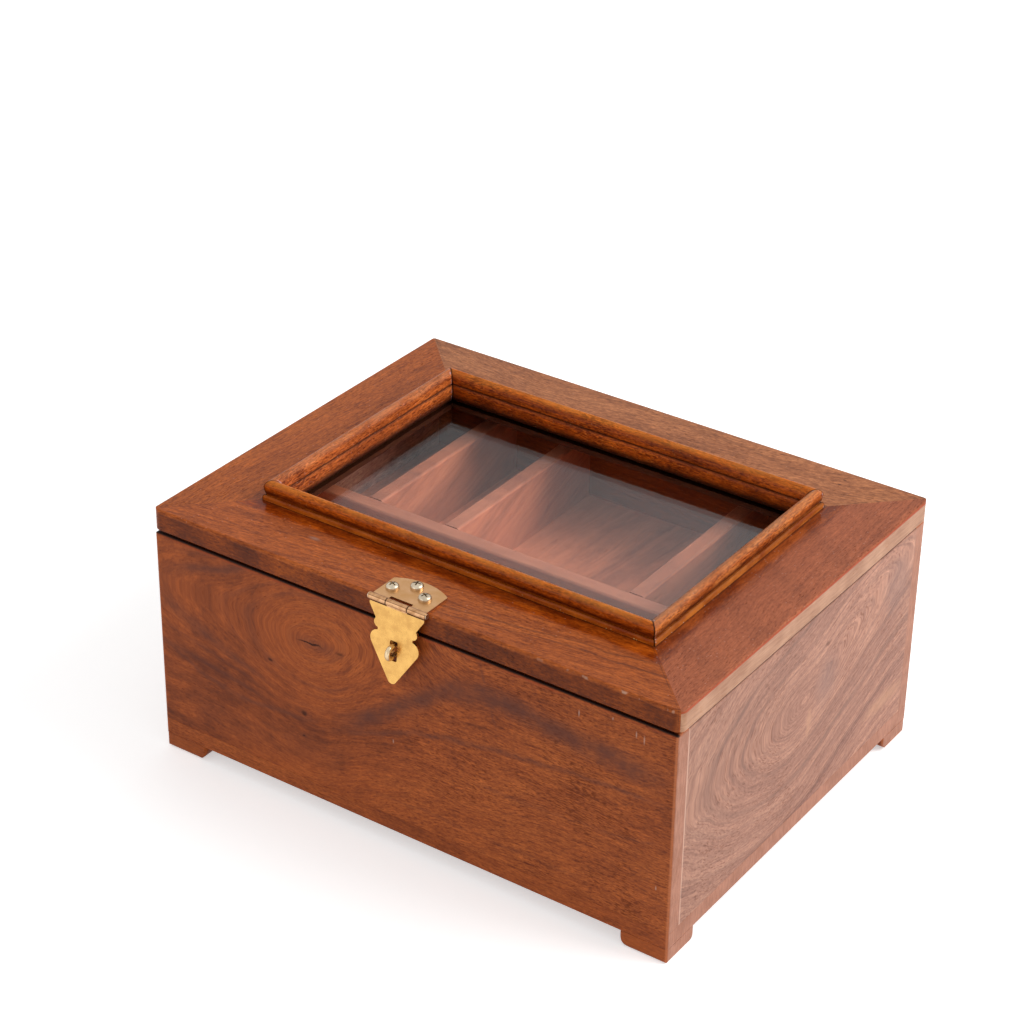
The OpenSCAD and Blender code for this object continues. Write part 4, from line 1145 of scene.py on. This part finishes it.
def grow(name, points, edges, tree, values):
    """A plain mesh object made by a node tree from points and edges."""
    mesh = bpy.data.meshes.new(name)
    mesh.from_pydata(points, edges, [])
    raw = bpy.data.objects.new(name + "_source", mesh)
    bpy.context.scene.collection.objects.link(raw)
    modifier = raw.modifiers.new("Nodes", "NODES")
    modifier.node_group = tree
    sockets = {s.name: s.identifier for s in tree.interface.items_tree
               if s.item_type == "SOCKET" and s.in_out == "INPUT"}
    for key, value in values.items():
        modifier[sockets[key]] = value
    graph = bpy.context.evaluated_depsgraph_get()
    made = bpy.data.meshes.new_from_object(raw.evaluated_get(graph), depsgraph=graph)
    if not made.polygons:
        raise RuntimeError(f"{name} came out empty")
    made.name = name
    bpy.data.objects.remove(raw)
    bpy.data.meshes.remove(mesh)
    piece = bpy.data.objects.new(name, made)
    bpy.context.scene.collection.objects.link(piece)
    return piece


FOOT_VARNISH = (0.26, 0.040, 0.005, 1.0), (0.62, 0.165, 0.020, 1.0)
# Painted shade for the groove and for the round that hangs inside the window.
GROOVE_SHADE = (0.055, 0.005, 0.001)
WINDOW_SHADE = (0.022, 0.006, 0.003)
# Painted highlight on the moulding's crest.
CREST_HIGHLIGHT = (0.60, 0.235, 0.085, 1.0)
MOULDING_DUST = (0.85, 0.62, 0.45, 1.0)
MITRE_PUTTY = (0.62, 0.38, 0.30, 1.0)
MITRE_DARK = (0.015, 0.005, 0.003)


def moulding_marks(stain):
    """The marks of one length of moulding, tinted per side to paint the sheen that its side shows."""

    def marks(g, at, colour, height, rough):
        """The crest's painted highlight, painted shade in the groove, the quirk and the round under the
        window, the glossy foot and the open mitres.
        """
        distance, out_x, out_y = frame_distance(g, at.coords)
        inward = g.times(distance, -1.0)
        up = g.minus(g.split(at.coords)[2], LID_TOP)
        wavy = g.plus(up, g.times(g.waver(at.coords, 160.0, 3.0, 0.6), 0.0014))
        patchy = g.remap(g.noise(g.drawn(at.grain, 0.35), 140.0, 4.0, 0.7), 0.36, 0.62)
        outer = g.remap(inward, 0.0029, 0.0039, 1.0, 0.0)
        inner = g.remap(inward, 0.0058, 0.0066)
        foot = g.times(g.remap(up, 0.0020, 0.0026, 1.0, 0.0), outer)
        colour = g.blend(g.times(foot, 0.8), colour, g.blend(patchy, *FOOT_VARNISH))
        # painted shade in the groove under the crest
        groove = g.times(soft_line(g, wavy, 0.0032, 0.0021), outer)
        colour = darken(g, colour, g.times(groove, g.remap(patchy, 0.0, 1.0, 0.60, 0.95)), GROOVE_SHADE)
        # painted shade in the quirk on the window side
        quirk = g.times(soft_line(g, up, 0.0030, 0.0009), inner)
        colour = darken(g, colour, g.times(quirk, 0.85), CREASE_SHADE)
        # painted shade on the round that hangs down inside the window
        low = g.times(g.remap(wavy, -0.0006, -0.0034), inner)
        colour = darken(g, colour, g.times(low, 0.92), WINDOW_SHADE)
        # painted highlight along the crest
        crest = g.remap(wavy, 0.0062, 0.0086)
        colour = g.blend(g.times(crest, g.remap(patchy, 0.0, 1.0, 0.15, 0.60)), colour, CREST_HIGHLIGHT)
        settled = g.plus(g.times(g.remap(up, 0.0010, 0.0002, 0.0, 0.7), outer), 0.08)
        colour = g.blend(g.times(dust(g, at.coords, 950.0, 0.40, 0.05), settled), colour, MOULDING_DUST)
        across = g.minus(out_x, out_y)
        putty = g.times(soft_line(g, across, 0.0009, 0.0007),
                        g.remap(g.noise(at.coords, 700.0, 2.0), 0.52, 0.60, 0.0, 0.6))
        colour = g.blend(putty, colour, MITRE_PUTTY)
        mitre = soft_line(g, across, 0.0, 0.0008)
        colour = darken(g, colour, g.times(mitre, 0.9), MITRE_DARK)
        # tinted per side, painting the sheen each length shows in the light
        colour = g.blend(1.0, colour, (*stain, 1.0), "MULTIPLY")
        return colour, height, g.plus(g.minus(rough, g.times(foot, 0.08)), g.times(crest, 0.12))

    return marks


class TEABOX_OT_moulding(bpy.types.Operator):
    """Make the four mitred lengths of moulding round the glass"""
    bl_idname = "teabox.moulding"
    bl_label = "Moulding"

    def execute(self, context):
        look = settings().moulding
        profile = [(u, v, 0.0) for u, v in moulding_profile()]
        count = len(profile)
        edges = [(n, (n + 1) % count) for n in range(count)]
        wide = node_box("moulding_front")[1].x - node_box("moulding_front")[0].x
        near, far = node_box("moulding_right")[0].y, node_box("moulding_right")[1].y
        deep, middle = far - near, (near + far) / 2
        tree = moulding_tree()
        colours = (tuple(look.light), tuple(look.middle), tuple(look.dark))
        # Per-side tints paint the sheen each length shows: paler and bluer on the left and right,
        # redder on the front and back.
        sheen_tints = {"front": (1.06, 0.98, 0.50), "back": (1.06, 0.96, 0.52),
                  "left": (1.01, 1.12, 1.60), "right": (0.95, 1.10, 1.40)}
        for n, (side, turn, length, depth, grain, across) in enumerate((
                ("front", 0, wide, deep, "x", "y"), ("right", 90, deep, wide, "y", "x"),
                ("back", 180, wide, deep, "x", "y"), ("left", 270, deep, wide, "y", "x"))):
            material = wood_material(
                f"moulding_{side}_varnish", grain, across, colours, seed=61.0 + 3.7 * n,
                rings={"Spacing": 0.0030, "Wander": 0.008, "Wander Scale": 30.0},
                strengths={"Band Strength": 0.45, "Pore Strength": 0.7, "Cloud Strength": 0.5,
                           "Fibre Strength": 1.5},
                fibres={"Pore Amount": 1.2, "Pore Scale": 1900.0}, roughness=0.26, coat=0.05, bump=0.3,
                gloss=0.08, marks=moulding_marks(sheen_tints[side]))
            piece = grow(f"moulding_{side}_length", profile, edges, tree, {
                "Length": length, "Depth": depth, "Turn": math.radians(turn), "Gap": look.gap * 0.5,
                "Waver": look.waver, "Steps": look.steps, "Points": count, "Seed": n + 1,
                "Place": (0.0, middle, LID_TOP), "Material": material})
            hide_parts(f"moulding_{side}")
            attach(piece, "lid")
        return {"FINISHED"}


class TEABOX_OT_glass(bpy.types.Operator):
    """Finish the glass pane"""
    bl_idname = "teabox.glass"
    bl_label = "Glass"

    def execute(self, context):
        dress("glass_pane", pane_material(settings().glass.tint))
        return {"FINISHED"}


# ---- hardware --------------------------------------------------------------

SCREW_REACH = 2.3 * MM


def head_places(node, axis):
    """The ends of a CAD node's screws, found along an axis from its joined-up points."""
    points = [v.co.copy() for v in frame["nodes"][node].data.vertices]
    places = []

    def apart(a, b):
        """The distance between two points, seen along the axis."""
        off = a - b
        off[axis] = 0.0
        return off.length

    while points:
        cluster, waiting = [], [points.pop()]
        while waiting:
            here = waiting.pop()
            cluster.append(here)
            waiting += [p for p in points if apart(p, here) < SCREW_REACH]
            points = [p for p in points if apart(p, here) >= SCREW_REACH]
        low = Vector([min(p[k] for p in cluster) for k in range(3)])
        high = Vector([max(p[k] for p in cluster) for k in range(3)])
        place = (low + high) / 2
        place[axis] = high[axis] if axis == 2 else low[axis]
        places.append(place)
    return places


def screw_tree():
    """Pan-head screws with a cross recess, one on each point."""
    tree, g, i, o = new_group("GeometryNodeTree", "Pan Screws", [
        ("Geometry", "Geometry"), ("Head Radius", 0.003), ("Head Height", 0.002), ("Recess", 0.5),
        ("Shank Radius", 0.001), ("Shank Length", 0.008), ("Sides", 48), ("Seed", 0),
        ("Lean", (0.0, 0.0, 0.0)), ("Material", "Material"),
    ], [("Geometry", "Geometry")])
    # the domed head
    ball = g.add("GeometryNodeMeshUVSphere", {
        "Segments": i["Sides"], "Rings": 24, "Radius": 1.0}).outputs[0]
    x, y, z = g.split(g.add("GeometryNodeInputPosition").outputs[0])
    crown = g.times(g.math("POWER", g.math("MAXIMUM", z, 0.0), 0.62), i["Head Height"])
    domed = g.join(g.times(x, i["Head Radius"]), g.times(y, i["Head Radius"]), crown)
    head = g.add("GeometryNodeSetPosition", {"Geometry": ball, "Position": domed}).outputs[0]
    # the cross, its second arm a little lower so that no two faces lie in one plane
    blade = g.join(g.times(i["Head Radius"], 1.15), g.times(i["Head Radius"], 0.24),
                   g.times(i["Head Height"], i["Recess"], 2.0))
    arm = g.add("GeometryNodeMeshCube", {"Size": blade}).outputs[0]
    arm = g.add("GeometryNodeTransform", {
        "Geometry": arm, "Translation": g.join(0.0, 0.0, i["Head Height"])}).outputs[0]
    crossing = g.add("GeometryNodeTransform", {
        "Geometry": arm, "Rotation": (0, 0, math.pi / 2), "Scale": (1.0, 1.0, 0.97)}).outputs[0]
    cut = g.add("GeometryNodeMeshBoolean", {0: head, 1: arm}, operation="DIFFERENCE", solver="EXACT")
    g.put(cut.inputs[1], crossing)
    sound = g.add("GeometryNodeTriangulate", {"Mesh": cut.outputs[0]}).outputs[0]
    sound = g.add("GeometryNodeMergeByDistance", {"Geometry": sound, "Distance": 0.02 * MM}).outputs[0]
    # the shank
    shank = g.add("GeometryNodeMeshCylinder", {
        "Vertices": 16, "Radius": i["Shank Radius"], "Depth": i["Shank Length"]}).outputs[0]
    middle = g.times(i["Shank Length"], -0.5)
    shank = g.add("GeometryNodeTransform", {
        "Geometry": shank, "Translation": g.join(0.0, 0.0, middle)}).outputs[0]
    whole = g.add("GeometryNodeJoinGeometry")
    g.put(whole.inputs[0], sound)
    g.put(whole.inputs[0], shank)
    # one on each point, each turned its own way
    turn = g.add("FunctionNodeRandomValue", {2: 0.0, 3: math.pi / 2, "Seed": i["Seed"]},
                 data_type="FLOAT")
    set_out = g.add("GeometryNodeInstanceOnPoints", {
        "Points": i["Geometry"], "Instance": whole.outputs[0], "Rotation": i["Lean"]}).outputs[0]
    turned = g.add("GeometryNodeRotateInstances", {
        "Instances": set_out, "Rotation": g.join(0.0, 0.0, turn.outputs[1])}).outputs[0]
    real = g.add("GeometryNodeRealizeInstances", {"Geometry": turned}).outputs[0]
    g.put(o[0], g.add("GeometryNodeSetMaterial", {
        "Geometry": smooth_faces(g, real), "Material": i["Material"]}).outputs[0])
    return tree


class TEABOX_OT_screws(bpy.types.Operator):
    """Make the hasp's and the staple's cross-head screws"""
    bl_idname = "teabox.screws"
    bl_label = "Pan-head screws"

    def execute(self, context):
        look = settings().metal
        steel = metal_material("screw_steel", look.steel, look.steel_dull, 0.28)
        tree = screw_tree()
        for node, body, axis, radius, height, seed in (
                ("hasp_screws", "lid", 2, 2.75 * MM, 2.16 * MM, 4),
                ("staple_screws", "box", 1, 1.9 * MM, 1.97 * MM, 7)):
            places = head_places(node, axis)
            if not places:
                raise RuntimeError(f"no screws found in {node}")
            step = Vector((0, 0, -height)) if axis == 2 else Vector((0, height, 0))
            piece = grow(f"{node}_heads", [p + step for p in places], [], tree, {
                "Head Radius": radius, "Head Height": height, "Recess": look.recess,
                "Shank Radius": 0.95 * MM, "Shank Length": 6 * MM, "Sides": look.sides, "Seed": seed,
                "Lean": (0.0, 0.0, 0.0) if axis == 2 else (math.pi / 2, 0.0, 0.0), "Material": steel})
            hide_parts(node)
            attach(piece, body)
        return {"FINISHED"}


BARREL_TINTS = (0.42, 0.21, 0.09, 1.0), (0.66, 0.38, 0.20, 1.0)
BARREL_LINE = (0.12, 0.045, 0.018)
BARREL_SEAM = (0.05, 0.018, 0.008)


def barrel_marks(knuckle):
    """The marks of the hasp's barrel, with a seam at each side of its middle knuckle."""

    def marks(g, coords, tint):
        """The bronze colour, the dark lines along the barrel and the seams between the knuckles."""
        axis, middle = joint_point("flap_hinge"), node_middle("hasp_flap").x
        x, y, z = g.split(coords)
        off_y, off_z = g.minus(y, axis.y), g.minus(z, axis.z)
        far = g.math("SQRT", g.plus(g.times(off_y, off_y), g.times(off_z, off_z)))
        barrel = g.remap(far, 0.0018, 0.0021, 1.0, 0.0)
        worn = g.remap(g.noise(coords, 420.0, 2.0), 0.35, 0.65)
        tint = g.blend(barrel, tint, g.blend(worn, *BARREL_TINTS))
        turn = g.math("ARCTAN2", off_z, off_y)
        for place, shade in ((2.45, 0.75), (-2.75, 0.55), (1.35, 0.6)):
            tint = darken(g, tint, g.times(soft_line(g, turn, place, 0.20), barrel, shade), BARREL_LINE)
        half = g.math("ABSOLUTE", g.minus(x, middle))
        return darken(g, tint, g.times(soft_line(g, half, knuckle, 0.00045), barrel, 0.9), BARREL_SEAM)

    return marks


class TEABOX_OT_hasp(bpy.types.Operator):
    """Finish the hasp's leaf, pin and flap"""
    bl_idname = "teabox.hasp"
    bl_label = "Hasp"

    def execute(self, context):
        look = settings().metal
        seams = barrel_marks(5.1 * MM)
        dress("hasp_leaf", metal_material("leaf_brass", look.bronze, look.brass_dull, 0.34, seams))
        dress("hasp_flap", metal_material("flap_brass", look.brass, look.brass_dull, 0.26, seams,
                                          patch=230.0))
        dress("hasp_pin", metal_material("pin_steel", look.steel, look.steel_dull, 0.3))
        return {"FINISHED"}


class TEABOX_OT_staple(bpy.types.Operator):
    """Finish the staple's plate and loop"""
    bl_idname = "teabox.staple"
    bl_label = "Staple"

    def execute(self, context):
        look = settings().metal
        dress("staple_plate", metal_material("staple_brass", look.brass, look.brass_dull, 0.3))
        dress("staple_loop", metal_material("wire_brass", look.wire, look.brass_dull, 0.24))
        return {"FINISHED"}


class TEABOX_OT_hinges(bpy.types.Operator):
    """Finish the two butt hinges at the back"""
    bl_idname = "teabox.hinges"
    bl_label = "Lid hinges"

    def execute(self, context):
        look = settings().metal
        brass = metal_material("hinge_brass", look.brass, look.brass_dull, 0.34)
        steel = metal_material("hinge_steel", look.steel, look.steel_dull, 0.32)
        for side in ("left", "right"):
            dress(f"hinge_body_leaf_{side}", brass)
            dress(f"hinge_lid_leaf_{side}", brass)
            dress(f"hinge_pin_{side}", steel)
        dress("hinge_body_screws", steel)
        dress("hinge_lid_screws", steel)
        return {"FINISHED"}


# ---- stage -----------------------------------------------------------------

CAMERA_AIM = Vector((-0.063928, 0.073004, 0.058512))
LIGHT_AIM = (0.0, 0.0, 0.06)
FLOOR_HALF = 3.0
WHITE = (1.0, 1.0, 1.0, 1.0)


def camera_axes(azimuth, elevation):
    """The camera's way right, way up and way back."""
    back = Vector((math.sin(azimuth) * math.cos(elevation),
                   -math.cos(azimuth) * math.cos(elevation), math.sin(elevation)))
    right = Vector((math.cos(azimuth), math.sin(azimuth), 0.0))
    return right, back.cross(right), back


def area_light(name, place, aim, size, power):
    """A soft square light that looks at a point."""
    data = bpy.data.lights.new(name, "AREA")
    data.size = size
    data.energy = power
    lamp = bpy.data.objects.new(name, data)
    lamp.location = place
    lamp.rotation_euler = (Vector(aim) - Vector(place)).to_track_quat("-Z", "Y").to_euler()
    bpy.context.scene.collection.objects.link(lamp)


def seen_plainly(g):
    """1 where the camera looks straight, by a reflection or through glass."""
    path = g.add("ShaderNodeLightPath").outputs
    return g.math("MAXIMUM", path["Is Camera Ray"],
                  g.math("MAXIMUM", path["Is Glossy Ray"], path["Is Transmission Ray"]))


class TEABOX_OT_stage(bpy.types.Operator):
    """Set up the floor, the world, the lights and the camera"""
    bl_idname = "teabox.stage"
    bl_label = "Stage"

    def execute(self, context):
        look = settings().stage
        scene = context.scene
        scene.view_settings.view_transform = "Standard"
        right, up, back = camera_axes(look.azimuth, look.elevation)
        c, s = math.cos(look.roll), math.sin(look.roll)
        turned_right, turned_up = right * c + up * s, up * c - right * s
        lens = bpy.data.cameras.new("view")
        lens.lens = look.lens
        lens.sensor_width = 36.0
        lens.clip_start = 0.01
        camera = bpy.data.objects.new("view", lens)
        turned = Matrix((turned_right, turned_up, back)).transposed().to_4x4()
        camera.matrix_world = Matrix.Translation(CAMERA_AIM + back * look.distance) @ turned
        scene.collection.objects.link(camera)
        scene.camera = camera

        world = bpy.data.worlds.new("studio")
        scene.world = world
        world.use_nodes = True
        world.node_tree.nodes.clear()
        g = Graph(world.node_tree)
        level = g.add("ShaderNodeMix", {0: seen_plainly(g), 2: look.sky, 3: 1.0}, data_type="FLOAT")
        sky = g.add("ShaderNodeBackground", {"Color": WHITE, "Strength": level.outputs[0]})
        g.put(g.add("ShaderNodeOutputWorld").inputs["Surface"], sky.outputs[0])

        mesh = bpy.data.meshes.new("floor")
        corners = ((-1, -1), (1, -1), (1, 1), (-1, 1))
        mesh.from_pydata([(x * FLOOR_HALF, y * FLOOR_HALF, FLOOR_Z) for x, y in corners], [],
                         [(0, 1, 2, 3)])
        floor = bpy.data.objects.new("floor", mesh)
        scene.collection.objects.link(floor)
        material, g, shader = new_material("floor_paper")
        grain = g.noise(g.add("ShaderNodeTexCoord").outputs["Object"], 260.0, 3.0)
        paper = g.blend(grain, (0.90, 0.90, 0.90, 1.0), (0.95, 0.95, 0.95, 1.0))
        g.put(shader.inputs["Base Color"], paper)
        shader.inputs["Roughness"].default_value = 0.9
        shader.inputs["Specular IOR Level"].default_value = 0.1
        shader.inputs["Emission Color"].default_value = WHITE
        g.put(shader.inputs["Emission Strength"], g.times(seen_plainly(g), 0.5))
        mesh.materials.append(material)

        area_light("key", (1.15, 0.50, 1.05), LIGHT_AIM, 0.95, look.key)
        area_light("fill", (-0.45, -1.6, 0.40), LIGHT_AIM, 1.2, look.fill)
        return {"FINISHED"}


class TEABOX_PT_panel(bpy.types.Panel):
    """Lists the steps and the settings of the tea box"""
    bl_idname = "TEABOX_PT_panel"
    bl_label = "Tea Box"
    bl_space_type = "VIEW_3D"
    bl_region_type = "UI"
    bl_category = "Tea Box"

    def draw(self, context):
        for step in STEPS:
            self.layout.operator(step.bl_idname)
        for part in ("wood", "moulding", "metal", "glass", "stage"):
            values = getattr(settings(), part)
            box = self.layout.box()
            box.label(text=part.capitalize())
            for key in type(values).__annotations__:
                box.prop(values, key)


STEPS = (TEABOX_OT_stage, TEABOX_OT_walls, TEABOX_OT_feet, TEABOX_OT_inside, TEABOX_OT_lid_boards,
         TEABOX_OT_moulding, TEABOX_OT_glass, TEABOX_OT_hasp, TEABOX_OT_staple, TEABOX_OT_screws,
         TEABOX_OT_hinges)
CLASSES = (TEABOX_PG_wood, TEABOX_PG_moulding, TEABOX_PG_metal, TEABOX_PG_glass, TEABOX_PG_stage,
           TEABOX_PG_settings, *STEPS, TEABOX_PT_panel)


def register():
    """Registers the classes and the scene's settings."""
    for item in CLASSES:
        bpy.utils.register_class(item)
    bpy.types.Scene.tea_box = PointerProperty(type=TEABOX_PG_settings)


def unregister():
    """Takes the settings and the classes away again."""
    del bpy.types.Scene.tea_box
    for item in reversed(CLASSES):
        bpy.utils.unregister_class(item)


def main():
    """Makes every piece in order."""
    register()
    for step in STEPS:
        area, action = step.bl_idname.split(".")
        getattr(getattr(bpy.ops, area), action)()


if __name__ == "__main__":
    main()
